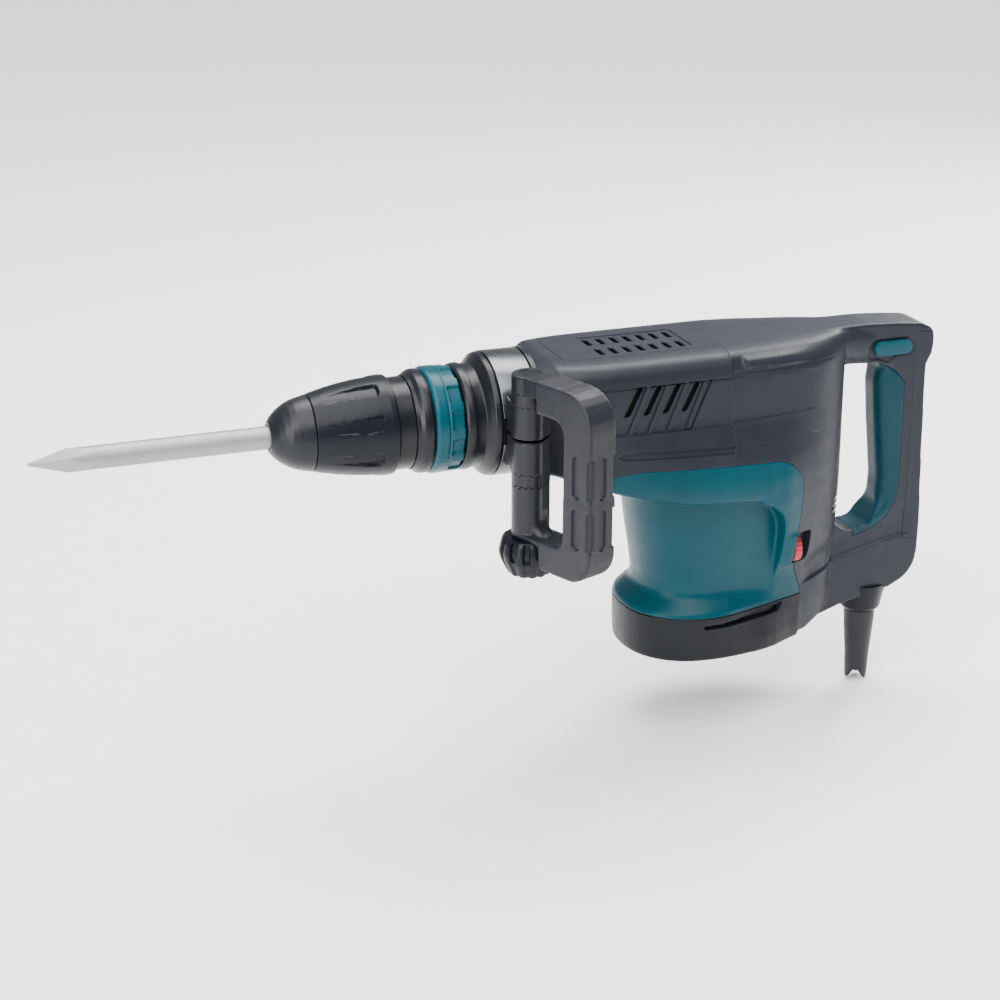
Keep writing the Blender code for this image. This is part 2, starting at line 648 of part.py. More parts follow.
def motor_housing():
    far = 0.5
    shell = body_form("motor_housing", material=TEAL)
    drum = [(-0.1900, 0), (-0.1900, 0.0602), (-0.1800, 0.0602), (-0.1730, 0.0565), (-0.1690, 0.0520),
            (-0.1640, 0.0482), (-0.1530, 0.0486), (-0.1350, 0.0515), (-0.1160, 0.0545),
            (-0.0990, 0.0570), (-0.0740, 0.0600), (-0.0740, 0)]
    join(shell, turned("motor_drum", drum, None, (MOTOR_X, 0, 0), 'Z'))
    pillar = keep(rear_form("motor_pillar"), box("above_foot", (0, -far, -0.1720), (far, far, far)))
    join(shell, pillar)
    join(shell, plate("motor_foot", [base_outline(reach=0.006)], -0.1900, -0.1680))
    keep(shell, motor_region("motor_zone", 0))
    cut(shell, box("below_motor_housing", (0.1, -0.2, -0.3), (0.6, 0.2, CAP_JOINT_Z + GAP)))
    cut(shell, rod("motor_bore", -0.3, -0.0500, 0.0430, location=(MOTOR_X, 0, 0), steps=24))
    corners = ((0.2650, -0.0500, 0.020), (0.4180, -0.0560, 0.015), (0.4180, 0.0560, 0.015),
               (0.2650, 0.0500, 0.020))
    cut(shell, plate("gear_pocket", [rounded(corners)], -0.0563, 0.0200))
    hollow = rear_form("pillar_hollow", WALL)
    cut(shell, keep(hollow, box("pillar_room", (0.4095, -far, -0.1650), (far, far, -0.0500))))
    recess = box("dial_notch", (0.4235, -0.1, DIAL_Z - 0.0125), (0.5, -0.0330, DIAL_Z + 0.0125))
    cut(shell, recess)


def motor_end_cap():
    cap = plate("motor_end_cap", [base_outline()], BASE_Z, CAP_JOINT_Z, BLACK)
    cut(cap, plate("cap_hollow", [base_outline(-WALL)], BASE_Z + 0.0040, 0.0))
    boss = ring("cap_bearing_boss", BASE_Z + 0.0020, -0.1880, 0.0113, 0.0150, None,
                (MOTOR_X, 0, 0), 'Z')
    join(cap, boss)
    for side in (-1, 1):
        low, high = sorted((side * 0.0400, side * 0.0800))
        cut(cap, box(f"air_inlet_{side}", (0.3750, low, -0.1860), (0.4180, high, -0.1820)))


HANDLE_OUTLINE = ((0.4600, 0.0448, 0), (0.5230, 0.0424, 0.05), (0.5490, 0.0396, 0.02),
                  (0.5660, 0.0330, 0.010), (0.5676, 0.0130, 0.02), (0.5622, -0.0040, 0.02),
                  (0.5650, -0.0600, 0.05), (0.5660, -0.1400, 0.05), (0.5680, -0.1830, 0.020),
                  (0.5400, -0.1950, 0.020), (0.4600, -0.2130, 0))
OPENING = ((0.4775, 0.0125, 0.008), (0.5190, 0.0100, 0.006), (0.5165, -0.0100, 0.02),
           (0.5190, -0.0410, 0.05), (0.5250, -0.0950, 0.03), (0.5240, -0.1180, 0.015),
           (0.5130, -0.1360, 0.010), (0.4920, -0.1370, 0.010), (0.4775, -0.1260, 0.008))
PAD_OUTLINE = ((0.5100, 0.0050, 0.003), (0.5360, 0.0050, 0.006), (0.5462, -0.0050, 0.006),
               (0.5462, -0.1150, 0.010), (0.5350, -0.1340, 0.010), (0.5120, -0.1340, 0.004),
               (0.5000, -0.1200, 0.004), (0.5000, -0.0050, 0.004))


def grip_core(name, grow):
    return box(name, (0.5290 - grow, -0.0130 - grow, -0.1600), (0.5600, 0.0130 + grow, 0.0200))


def rear_housing():
    far = 0.5
    shell = body_form("rear_housing", material=BLACK)
    join(shell, rear_form("rear_block"))
    frame = plate("handle_frame", [rounded(HANDLE_OUTLINE, 2), rounded(OPENING, 2)],
                  -HANDLE_HALF, HANDLE_HALF, across='Y')
    join(shell, soften(frame, 0.0060, 1))
    pad_space = plate("pad_space", [rounded(PAD_OUTLINE, 2)], -0.1, 0.1, across='Y')
    cut(shell, pad_space)
    join(shell, grip_core("grip_core", 0))
    cut(shell, motor_region("motor_clear_rear", GAP))
    cut(shell, box("ahead_of_seam", (0.0, -far, -far), (SEAM_X + GAP / 2, far, far)))
    cut(shell, body_form("rear_upper_hollow", WALL))
    cut(shell, rear_form("rear_lower_hollow", WALL))
    back = box("back_cover_space", (0.5475 - GAP, -0.1, -0.1500 - GAP), (0.7, 0.1, 0.0345))
    cut(shell, back)
    cut(shell, box("switch_pocket", (0.5315, -0.0105, -0.0450), (0.6, 0.0105, 0.0125)))
    lever = (0.0165 + GAP, 0.0055 + GAP)
    cut(shell, box("lever_way", (LEVER_X - lever[0], -0.1, LEVER_Z - lever[1]),
                   (LEVER_X + lever[0], 0.1, LEVER_Z + lever[1])))
    cut(shell, box("dial_recess", (0.4200, -0.1, DIAL_Z - 0.0150), (0.4410, -0.0330, DIAL_Z + 0.0150)))
    for side in (-1, 1):
        hole = rod(f"lamp_hole_{side}", 0.4650, 0.4900, 0.0032, location=(0, side * 0.0080, -0.0120),
                   axis='X', steps=12)
        cut(shell, hole)
    cut(shell, rod("gland_recess", -0.3, -0.1905, 0.0220, location=(CORD_X, 0, 0)))
    cut(shell, rod("gland_hole", -0.3, -0.1650, 0.0103, location=(CORD_X, 0, 0)))


def handle_back_cover():
    cover = plate("handle_back_cover", [rounded(HANDLE_OUTLINE, 2)], -HANDLE_HALF, HANDLE_HALF, BLACK,
                  across='Y')
    soften(cover, 0.0060, 1)
    keep(cover, box("behind_back_seam", (0.5475, -0.1, -0.1500), (0.7, 0.1, 0.0342)))
    cut(cover, grip_core("core_clear_back", GAP))


def grip_pad():
    pad = plate("grip_pad", [rounded(HANDLE_OUTLINE, 2), rounded(OPENING, 2)], -0.0188, 0.0188,
                TEAL_RUBBER, across='Y')
    soften(pad, 0.0080)
    zone = plate("pad_zone", [rounded(PAD_OUTLINE, 2)], -0.1, 0.1, across='Y')
    keep(pad, zone)
    cut(pad, grip_core("core_clear_pad", GAP))
    trim = 0.0003
    cut(pad, box("pad_rear_trim", (0.5462 - trim, -0.1, -0.3), (0.7, 0.1, 0.3)))
    cut(pad, box("pad_top_trim", (0.4, -0.1, 0.0050 - trim), (0.7, 0.1, 0.3)))
    cut(pad, box("pad_foot_trim", (0.4, -0.1, -0.3), (0.7, 0.1, -0.1340 + trim)))


# ---- controls and cord entry -------------------------------------------
def controls():
    box("switch_body", (0.5320, -0.0100, -0.0420), (0.5465, 0.0100, 0.0100), BLACK)
    corners = [(LEVER_X + dx * 0.0165, LEVER_Z + dz * 0.0055, 0.0050)
               for dx, dz in ((-1, -1), (1, -1), (1, 1), (-1, 1))]
    plate("switch_lever", [rounded(corners)], -0.0205, 0.0175, TEAL, across='Y')
    rod("speed_dial", DIAL_X[0], DIAL_X[1], DIAL_R, RED, (0, DIAL_Y, DIAL_Z), 'X', 24)
    box("control_board", (0.4490, -0.0240, -0.1000), (0.4510, 0.0240, -0.0300), BOARD)
    for side, word in ((-1, "power_lamp"), (1, "service_lamp")):
        rod(word, 0.4700, 0.4775, 0.0029, LENS, (0, side * 0.0080, -0.0120), 'X', 12)


def cord_entry():
    at = (CORD_X, 0, 0)
    gland = [(-0.2165, 0.0160), (-0.2140, 0.0172), (-0.1908, 0.0216), (-0.1908, 0.0100),
             (-0.1700, 0.0100), (-0.1700, 0.0080), (-0.2165, 0.0080)]
    turned("cord_gland", gland, BLACK, at, 'Z')
    guard = [(-0.2810, 0.0085), (-0.2600, 0.0100), (-0.2350, 0.0122), (-0.2168, 0.0130),
             (-0.2168, 0.0077), (-0.1720, 0.0077), (-0.1720, 0.0050), (-0.2810, 0.0050)]
    turned("cord_guard", guard, RUBBER, at, 'Z', 16)


# ---- side handle --------------------------------------------------------
BOLT = (CLAMP_X, CLAMP_Y, 0)
BOLT_R = 0.0050
LOOP_TURN = math.radians(22.5)   # the loop swings this far back from straight out


def clamp():
    band = ring("clamp_band", CLAMP_X - 0.0145, CLAMP_X + 0.0145, BAND_SEAT_R + GAP, BAND_R, STEEL,
                steps=BARREL_STEPS)
    cut(band, box("band_gap", (0.1, -0.1, -0.0100), (0.3, 0.0, 0.0100)))
    for word, side in (("upper", 1), ("lower", -1)):
        low, high = sorted((side * 0.0010, side * 0.0270))
        jaw = rod(f"clamp_{word}_jaw", low, high, CLAMP_R, BLACK, BOLT, 'Z')
        bridge = box(f"jaw_bridge_{word}", (CLAMP_X - 0.0125, CLAMP_Y, low),
                     (CLAMP_X + 0.0125, -0.0380, high))
        join(jaw, bridge)
        cut(jaw, rod(f"jaw_cradle_{word}", 0.1, 0.3, BAND_R + GAP, axis='X', steps=BARREL_STEPS))
        cut(jaw, rod(f"jaw_bore_{word}", -0.2, 0.2, BOLT_R + GAP, location=BOLT))
        low, high = sorted((side * (0.0270 + GAP), side * 0.0370))
        ring(f"ratchet_ring_{word}", low, high, BOLT_R + GAP, CLAMP_R, BLACK, BOLT, 'Z')


def side_handle():
    """D-shaped loop, drawn as (distance out from the bolt, height)."""
    corners = ((-0.0142, 0.0510, 0.003), (0.0810, 0.0510, 0.026), (0.0810, -0.0990, 0.022),
               (0.0255, -0.0990, 0.006), (0.0255, -0.0800, 0), (-0.0142, -0.0800, 0.003),
               (-0.0142, -0.0373, 0), (0.0142, -0.0373, 0), (0.0142, -0.0740, 0.012),
               (0.0480, -0.0750, 0.008), (0.0480, 0.0270, 0.010), (0.0170, 0.0270, 0),
               (0.0170, 0.0373, 0), (-0.0142, 0.0373, 0))
    loop = plate("side_handle", [rounded(corners, 3)], -0.0145, 0.0145, RUBBER, across='Y')
    soften(loop, 0.0075, 1)
    loop.location = BOLT
    # Local X points out of the loop: straight to the left, swung back a little.
    loop.rotation_euler = (math.pi / 2, 0, LOOP_TURN - math.pi / 2)
    cut(loop, rod("loop_bore", -0.2, 0.0470, BOLT_R + GAP, location=BOLT))
    cut(loop, rod("bolt_head_seat", 0.0460, 0.2, 0.0093, location=BOLT))
    head = [(-0.1060, 0), (-0.1060, BOLT_R), (0.0463, BOLT_R), (0.0463, 0.0090), (0.0505, 0.0090),
            (0.0505, 0)]
    turned("clamp_bolt", head, STEEL, BOLT, 'Z', 16)


def clamp_knob():
    flutes, depth = 12, 0.0016
    outline = []
    for i in range(flutes):
        centre = 2 * math.pi * i / flutes
        for share, radius in ((-0.36, KNOB_R), (0.0, KNOB_R), (0.36, KNOB_R), (0.5, KNOB_R - depth)):
            turn = centre + share * 2 * math.pi / flutes
            outline.append((radius * math.cos(turn), radius * math.sin(turn)))
    knob = plate("clamp_knob", [outline], -0.1110, -0.0803, BLACK, location=BOLT)
    cut(knob, rod("knob_bore", -0.1065, 0.0, BOLT_R + GAP, location=BOLT))


bull_point_chisel()
tool_holder()
tool_retainers()
chuck_front()
release_spring()
change_ring()
barrel()
striking_parts()
crank()
gear_plate()
motor()
brush_gear()
front_housings()
motor_housing()
motor_end_cap()
rear_housing()
handle_back_cover()
grip_pad()
controls()
cord_entry()
clamp()
side_handle()
clamp_knob()
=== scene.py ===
"""Looks of the electric jackhammer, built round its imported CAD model.

Shapes are worked out in the tool's own frame, in millimetres: x runs back along
the tool axis from the nose, -y is the tool's left side, where the dial and the
side handle are, and z is up.  The housings are one voxel-merged form whose
surface is scored, pushed in and trimmed along curves, so every seam is flush.
"""
import json
import math

import bpy
import numpy as np
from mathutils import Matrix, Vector


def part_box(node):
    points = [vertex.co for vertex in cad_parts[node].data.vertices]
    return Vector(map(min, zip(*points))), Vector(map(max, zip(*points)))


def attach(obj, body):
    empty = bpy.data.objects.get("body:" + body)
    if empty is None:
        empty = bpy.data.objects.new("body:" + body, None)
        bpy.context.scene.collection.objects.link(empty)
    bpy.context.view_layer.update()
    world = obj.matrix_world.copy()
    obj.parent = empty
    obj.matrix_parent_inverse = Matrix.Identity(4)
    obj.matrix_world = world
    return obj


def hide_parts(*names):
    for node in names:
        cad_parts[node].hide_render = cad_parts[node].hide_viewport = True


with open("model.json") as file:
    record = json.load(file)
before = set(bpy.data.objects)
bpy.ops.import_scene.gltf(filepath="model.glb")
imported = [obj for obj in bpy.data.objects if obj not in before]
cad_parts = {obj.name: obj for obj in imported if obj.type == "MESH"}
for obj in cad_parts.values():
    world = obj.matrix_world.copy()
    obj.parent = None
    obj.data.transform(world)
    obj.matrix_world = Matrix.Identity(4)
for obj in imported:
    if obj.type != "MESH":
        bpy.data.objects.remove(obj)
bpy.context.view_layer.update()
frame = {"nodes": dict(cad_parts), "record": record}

# ---- the tool's own frame -------------------------------------------------
CLAMP_X = 187.0            # clamp bolt, along the tool axis
CLAMP_Y = -66.0
LOOP_TURN = math.radians(22.5)
SEAM_X = 361.1             # front housing to rear housing
CAP_REAR_X = 441.0         # end cap to rear housing
LID_Z = 25.0               # top cover to front housing
CAP_Z = -178.2             # motor housing to end cap
BACK_SEAM_X = 547.6        # rear housing to the handle's back cover
HANDLE_BACK_X = 565.0
MOTOR_X = 361.0
CORD_X = 520.0
DIAL_Z = -131.5
SEAM_GAP = 0.22            # half the width of a moulded seam
WALL = 2.6
HOLLOW_WALL = 1.6          # of the side handle's jaws, rings, hubs and grip
FINE_STEPS = 288           # round the fluted and lobed pieces

band_low, band_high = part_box("clamp_band")
ORIGIN = Vector(((band_low.x + band_high.x) / 2 - CLAMP_X / 1000, 0, (band_low.z + band_high.z) / 2))


# ---- materials ------------------------------------------------------------
def node(tree, kind, **values):
    made = tree.nodes.new(kind)
    for key, value in values.items():
        if key in made.inputs:
            made.inputs[key].default_value = value
        else:
            setattr(made, key, value)
    return made


def speckle(tree, scale, detail, low, high):
    """A noise mapped from low to high, in the object's own metres."""
    place = node(tree, "ShaderNodeTexCoord")
    noise = node(tree, "ShaderNodeTexNoise", Scale=scale, Detail=detail)
    tree.links.new(place.outputs["Object"], noise.inputs["Vector"])
    span = node(tree, "ShaderNodeMapRange",
                **{"From Min": 0.3, "From Max": 0.7, "To Min": low, "To Max": high})
    tree.links.new(noise.outputs["Fac"], span.inputs["Value"])
    return span.outputs["Result"]


def surface(name, colour, roughness, grain=0.1, grain_scale=2600, metallic=0.0, mottle=0.12,
            worn=0.0, **sockets):
    """Moulded or machined surface: fine grain, slight mottling, uneven gloss, paler worn edges."""
    material = bpy.data.materials.new(name)
    material.use_nodes = True
    tree = material.node_tree
    shader = tree.nodes["Principled BSDF"]
    shader.inputs["Metallic"].default_value = metallic
    for key, value in sockets.items():
        shader.inputs[key.replace("_", " ")].default_value = value
    tone = node(tree, "ShaderNodeMix", data_type='RGBA', blend_type='MULTIPLY')
    tone.inputs["Factor"].default_value = 1.0
    tone.inputs["A"].default_value = (*colour, 1)
    tree.links.new(speckle(tree, 55, 4, 1 - mottle, 1 + mottle), tone.inputs["B"])
    paint = tone.outputs["Result"]
    if worn:
        shape = node(tree, "ShaderNodeNewGeometry")
        edge = node(tree, "ShaderNodeMapRange", **{"From Min": 0.52, "From Max": 0.60, "To Max": worn})
        tree.links.new(shape.outputs["Pointiness"], edge.inputs["Value"])
        rubbed = node(tree, "ShaderNodeMix", data_type='RGBA')
        pale = [min(1, c * 2.2 + 0.02) for c in colour]
        rubbed.inputs["B"].default_value = (*pale, 1)
        tree.links.new(edge.outputs["Result"], rubbed.inputs["Factor"])
        tree.links.new(paint, rubbed.inputs["A"])
        paint = rubbed.outputs["Result"]
    tree.links.new(paint, shader.inputs["Base Color"])
    tree.links.new(speckle(tree, 130, 5, roughness * 0.88, roughness * 1.14),
                   shader.inputs["Roughness"])
    bump = node(tree, "ShaderNodeBump", Strength=grain, Distance=0.0002)
    tree.links.new(speckle(tree, grain_scale, 2, 0, 1), bump.inputs["Height"])
    tree.links.new(bump.outputs["Normal"], shader.inputs["Normal"])
    return material


BLACK = surface("black_plastic", (0.011, 0.013, 0.020), 0.40, grain=0.14, worn=0.12, Specular_IOR_Level=0.24)
SLEEVE = surface("sleeve_plastic", (0.003, 0.004, 0.007), 0.36, grain=0.03, Specular_IOR_Level=0.20)
TEAL = surface("teal_plastic", (0.0, 0.043, 0.060), 0.34, grain=0.08, mottle=0.05, Specular_IOR_Level=0.16)
TEAL_RING = surface("teal_ring", (0.0, 0.047, 0.066), 0.28, grain=0.05, mottle=0.04, Specular_IOR_Level=0.20)
RUBBER = surface("black_rubber", (0.008, 0.009, 0.013), 0.46, grain=0.22, grain_scale=1800,
                 Specular_IOR_Level=0.30)
TEAL_RUBBER = surface("teal_rubber", (0.0, 0.026, 0.040), 0.42, grain=0.25, grain_scale=1700, mottle=0.05,
                      Specular_IOR_Level=0.18)
PAINTED = surface("black_paint", (0.004, 0.005, 0.007), 0.30, grain=0.02, Specular_IOR_Level=0.24)
STEEL = surface("ground_steel", (0.40, 0.41, 0.42), 0.30, grain=0.10, grain_scale=1500, metallic=1.0)
BAND_STEEL = surface("band_steel", (0.105, 0.110, 0.118), 0.27, grain=0.05, metallic=1.0, mottle=0.06)
BLASTED = surface("blasted_steel", (0.30, 0.302, 0.290), 0.50, grain=0.35, grain_scale=3200,
                  metallic=0.85, mottle=0.06)
ALUMINIUM = surface("cast_aluminium", (0.26, 0.26, 0.26), 0.5, grain=0.5, grain_scale=1200, metallic=1.0)
COPPER = surface("copper", (0.72, 0.36, 0.20), 0.33, grain=0.15, metallic=1.0)
CARBON = surface("carbon", (0.030, 0.030, 0.030), 0.6, grain=0.4)
CAP_RUBBER = surface("cap_rubber", (0.006, 0.007, 0.010), 0.36, grain=0.06, grain_scale=1800,
                     Specular_IOR_Level=0.26)
COLUMN_PLASTIC = surface("column_plastic", (0.006, 0.007, 0.010), 0.36, grain=0.03,
                         Specular_IOR_Level=0.28)
RED = surface("red_plastic", (0.33, 0.016, 0.026), 0.36, grain=0.05)
BOARD = surface("board_lacquer", (0.02, 0.16, 0.06), 0.4, mottle=0.3)
# Near-black and matte: painted shade for the screens set behind the vents.
VENT_SHADE = surface("painted_vent_shade", (0.004, 0.004, 0.005), 0.7, Specular_IOR_Level=0.1)
LENS = surface("lamp_lens", (0.5, 0.02, 0.02), 0.12, grain=0.02, Coat_Weight=1.0)

CAD_LOOKS = {
    "steel": STEEL, "blasted_steel": BLASTED, "cast_aluminium": ALUMINIUM, "copper": COPPER,
    "carbon": CARBON, "board_green": BOARD, "black_plastic": SLEEVE, "lens": LENS,
    "black_painted_metal": PAINTED, "black_rubber": RUBBER, "red_plastic": RED,
    "teal_plastic": TEAL, "teal_rubber": TEAL_RUBBER,
}
for part in frame["record"]["subparts"]:
    kept = frame["nodes"][part["node"]]
    kept.data.materials.clear()
    kept.data.materials.append(PAINTED if part["node"] == "clamp_bolt" else CAD_LOOKS[part["material_slot"]])


# ---- outlines and curves --------------------------------------------------
def rounded(corners, steps=6):
    """Closed outline of (a, b, radius) corners, each rounded by an arc."""
    outline = []
    for i, (a, b, radius) in enumerate(corners):
        here = np.array((a, b), float)
        if not radius:
            outline.append(here)
            continue
        back = np.array(corners[i - 1][:2], float) - here
        ahead = np.array(corners[(i + 1) % len(corners)][:2], float) - here
        back /= np.linalg.norm(back)
        ahead /= np.linalg.norm(ahead)
        half = math.acos(max(-1, min(1, back @ ahead))) / 2
        middle = here + (back + ahead) / np.linalg.norm(back + ahead) * radius / math.sin(half)
        start = here + back * radius / math.tan(half) - middle
        turn = math.pi - 2 * half
        sign = 1 if start[0] * (here - middle)[1] - start[1] * (here - middle)[0] > 0 else -1
        for k in range(steps + 1):
            angle = sign * turn * k / steps
            c, s = math.cos(angle), math.sin(angle)
            outline.append(middle + (c * start[0] - s * start[1], s * start[0] + c * start[1]))
    return np.array(outline)


def within(outline, a, b):
    """Signed distance of points to a closed outline, negative inside."""
    best, odd = np.full(a.shape, np.inf), np.zeros(a.shape, bool)
    for (x0, y0), (x1, y1) in zip(outline, np.roll(outline, -1, axis=0)):
        dx, dy = x1 - x0, y1 - y0
        share = np.clip(((a - x0) * dx + (b - y0) * dy) / max(dx * dx + dy * dy, 1e-12), 0, 1)
        best = np.minimum(best, np.hypot(a - x0 - share * dx, b - y0 - share * dy))
        if dy:
            odd ^= ((y0 > b) != (y1 > b)) & (a < dx * (b - y0) / dy + x0)
    return np.where(odd, -best, best)


def ramp(value, start, end):
    """0 before start, 1 after end, smooth between."""
    share = np.clip((value - start) / (end - start), 0, 1)
    return share * share * (3 - 2 * share)


def overlap(*fields):
    """Field that is below 0 only where all of these are."""
    return np.max(fields, axis=0)


def split_long(outline, step):
    """A closed outline with its long runs split every step."""
    dense = []
    for here, there in zip(outline, np.roll(outline, -1, axis=0)):
        parts = max(1, int(np.linalg.norm(there - here) / step))
        dense += [here + (there - here) * k / parts for k in range(parts)]
    return np.array(dense)


def flowing(rows, at):
    """Smooth values between rows of (place, value, ...), without overshoot."""
    rows = np.array(rows, float)
    xs, ys = rows[:, 0], rows[:, 1:]
    gap = np.diff(xs)[:, None]
    rise = np.diff(ys, axis=0) / gap
    slope = np.zeros_like(ys)
    slope[0], slope[-1] = rise[0], rise[-1]
    same = rise[:-1] * rise[1:] > 0
    mean = 2 * rise[:-1] * rise[1:] / np.where(same, rise[:-1] + rise[1:], 1)
    slope[1:-1] = np.where(same, mean, 0)
    i = np.clip(np.searchsorted(xs, at, side="right") - 1, 0, len(xs) - 2)
    h = xs[i + 1] - xs[i]
    t = ((np.clip(at, xs[0], xs[-1]) - xs[i]) / h)[:, None]
    h = h[:, None]
    return ((2 * t**3 - 3 * t**2 + 1) * ys[i] + (t**3 - 2 * t**2 + t) * h * slope[i]
            + (3 * t**2 - 2 * t**3) * ys[i + 1] + (t**3 - t**2) * h * slope[i + 1])


def softened(line, rounds=2):
    """Cuts the corners of an open line, keeping its ends."""
    line = np.array(line, float)
    for _ in range(rounds):
        inner = np.empty((2 * len(line) - 2, 2))
        inner[0::2] = 0.75 * line[:-1] + 0.25 * line[1:]
        inner[1::2] = 0.25 * line[:-1] + 0.75 * line[1:]
        line = np.vstack([line[:1], inner, line[-1:]])
    return line


# ---- meshes ---------------------------------------------------------------
def make_mesh(name, points, faces, scale=0.001, offset=ORIGIN):
    """Mesh in metres from points in millimetres and faces of 3 or 4 corners (-1 is none)."""
    points, faces = np.asarray(points, float), np.asarray(faces, int)
    mesh = bpy.data.meshes.new(name)
    sizes = (faces >= 0).sum(1)
    mesh.vertices.add(len(points))
    mesh.vertices.foreach_set("co", (points * scale + np.array(offset)).astype(np.float32).ravel())
    mesh.loops.add(int(sizes.sum()))
    mesh.loops.foreach_set("vertex_index", faces[faces >= 0].astype(np.int32))
    mesh.polygons.add(len(faces))
    starts = np.concatenate([[0], np.cumsum(sizes)[:-1]])
    mesh.polygons.foreach_set("loop_start", starts.astype(np.int32))
    mesh.update(calc_edges=True)
    mesh.validate()
    return mesh


def add_object(name, data):
    thing = bpy.data.objects.new(name, data)
    bpy.context.scene.collection.objects.link(thing)
    return thing


def final_mesh(thing):
    """The object's mesh after its modifiers; the object itself is removed."""
    graph = bpy.context.evaluated_depsgraph_get()
    mesh = bpy.data.meshes.new_from_object(thing.evaluated_get(graph))
    bpy.data.objects.remove(thing)
    return mesh


def show(name, mesh, material, body, replaced=(), crease=38):
    """Adds a finished piece that rides on a body."""
    mesh.shade_smooth()
    mesh.set_sharp_from_angle(angle=math.radians(crease))
    mesh.materials.clear()
    mesh.materials.append(material)
    thing = add_object(name, mesh)
    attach(thing, body)
    if replaced:
        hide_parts(*replaced)
    return thing


def skinned(rings, closed=False):
    """Faces over rings of equal length; open ends are closed by a fan to their middle."""
    rings = np.asarray(rings, float)
    count, size = rings.shape[:2]
    points = rings.reshape(-1, 3)
    last = count if closed else count - 1
    row, col = np.meshgrid(np.arange(last), np.arange(size), indexing="ij")
    ahead, side = (row + 1) % count, (col + 1) % size
    faces = np.stack([row * size + col, row * size + side, ahead * size + side, ahead * size + col],
                     axis=-1).reshape(-1, 4)
    if not closed:
        middles = np.array([rings[0].mean(0), rings[-1].mean(0)])
        hub = len(points)
        points = np.vstack([points, middles])
        i, j = np.arange(size), (np.arange(size) + 1) % size
        none = np.full(size, -1)
        end = (count - 1) * size
        front = np.stack([np.full(size, hub), j, i, none], axis=1)
        rear = np.stack([np.full(size, hub + 1), end + i, end + j, none], axis=1)
        faces = np.vstack([faces, front, rear])
    return points, faces


AXIS_MAPS = {'X': lambda a, b, c: (a, b, c), 'Z': lambda a, b, c: (b, c, a)}


def lathe(profile, steps, axis, centre, shape):
    """Turned solid from (height, radius) rows; shape(height, radius, angle) moves (height, radius)."""
    angle = np.linspace(0, 2 * math.pi, steps, endpoint=False)
    height = np.repeat(profile[:, :1], steps, axis=1)
    radius = np.repeat(profile[:, 1:2], steps, axis=1)
    turn = np.repeat(angle[None, :], len(profile), axis=0)
    if shape:
        height, radius = shape(height, radius, turn)
    rings = np.stack(AXIS_MAPS[axis](height, radius * np.cos(turn), radius * np.sin(turn)), axis=-1)
    points, faces = skinned(rings + np.array(centre), closed=True)
    return points, faces[:, ::-1]


def solid_piece(name, form, material, body, replaced=(), crease=38):
    """Adds a closed form, right side out."""
    mesh = make_mesh(name, *form)
    face_outward(mesh)
    show(name, mesh, material, body, replaced, crease)


def turned_piece(name, profile, material, body, replaced=(), steps=160, axis='X',
                 centre=(0, 0, 0), shape=None, step=1.0, crease=38):
    """Adds a turned piece from (height, radius, rounding) rows, split every step along its outline."""
    form = lathe(split_long(rounded(profile, 3), step), steps, axis, centre, shape)
    solid_piece(name, form, material, body, replaced, crease)


def face_outward(mesh):
    """Turns a closed mesh right side out."""
    mesh.calc_loop_triangles()
    points = np.empty(len(mesh.vertices) * 3)
    mesh.vertices.foreach_get("co", points)
    points = points.reshape(-1, 3)
    corners = np.empty(len(mesh.loop_triangles) * 3, np.int32)
    mesh.loop_triangles.foreach_get("vertices", corners)
    a, b, c = (points[corners.reshape(-1, 3)[:, k]] for k in range(3))
    if np.einsum('ij,ij->i', a, np.cross(b, c)).sum() < 0:
        mesh.flip_normals()


def in_fours(loop):
    """A convex loop of corners as faces of 4 corners, or of 3 and -1."""
    parts = [[loop[0]] + loop[k:k + 3] for k in range(1, len(loop) - 1, 2)]
    return [part + [-1] * (4 - len(part)) for part in parts]


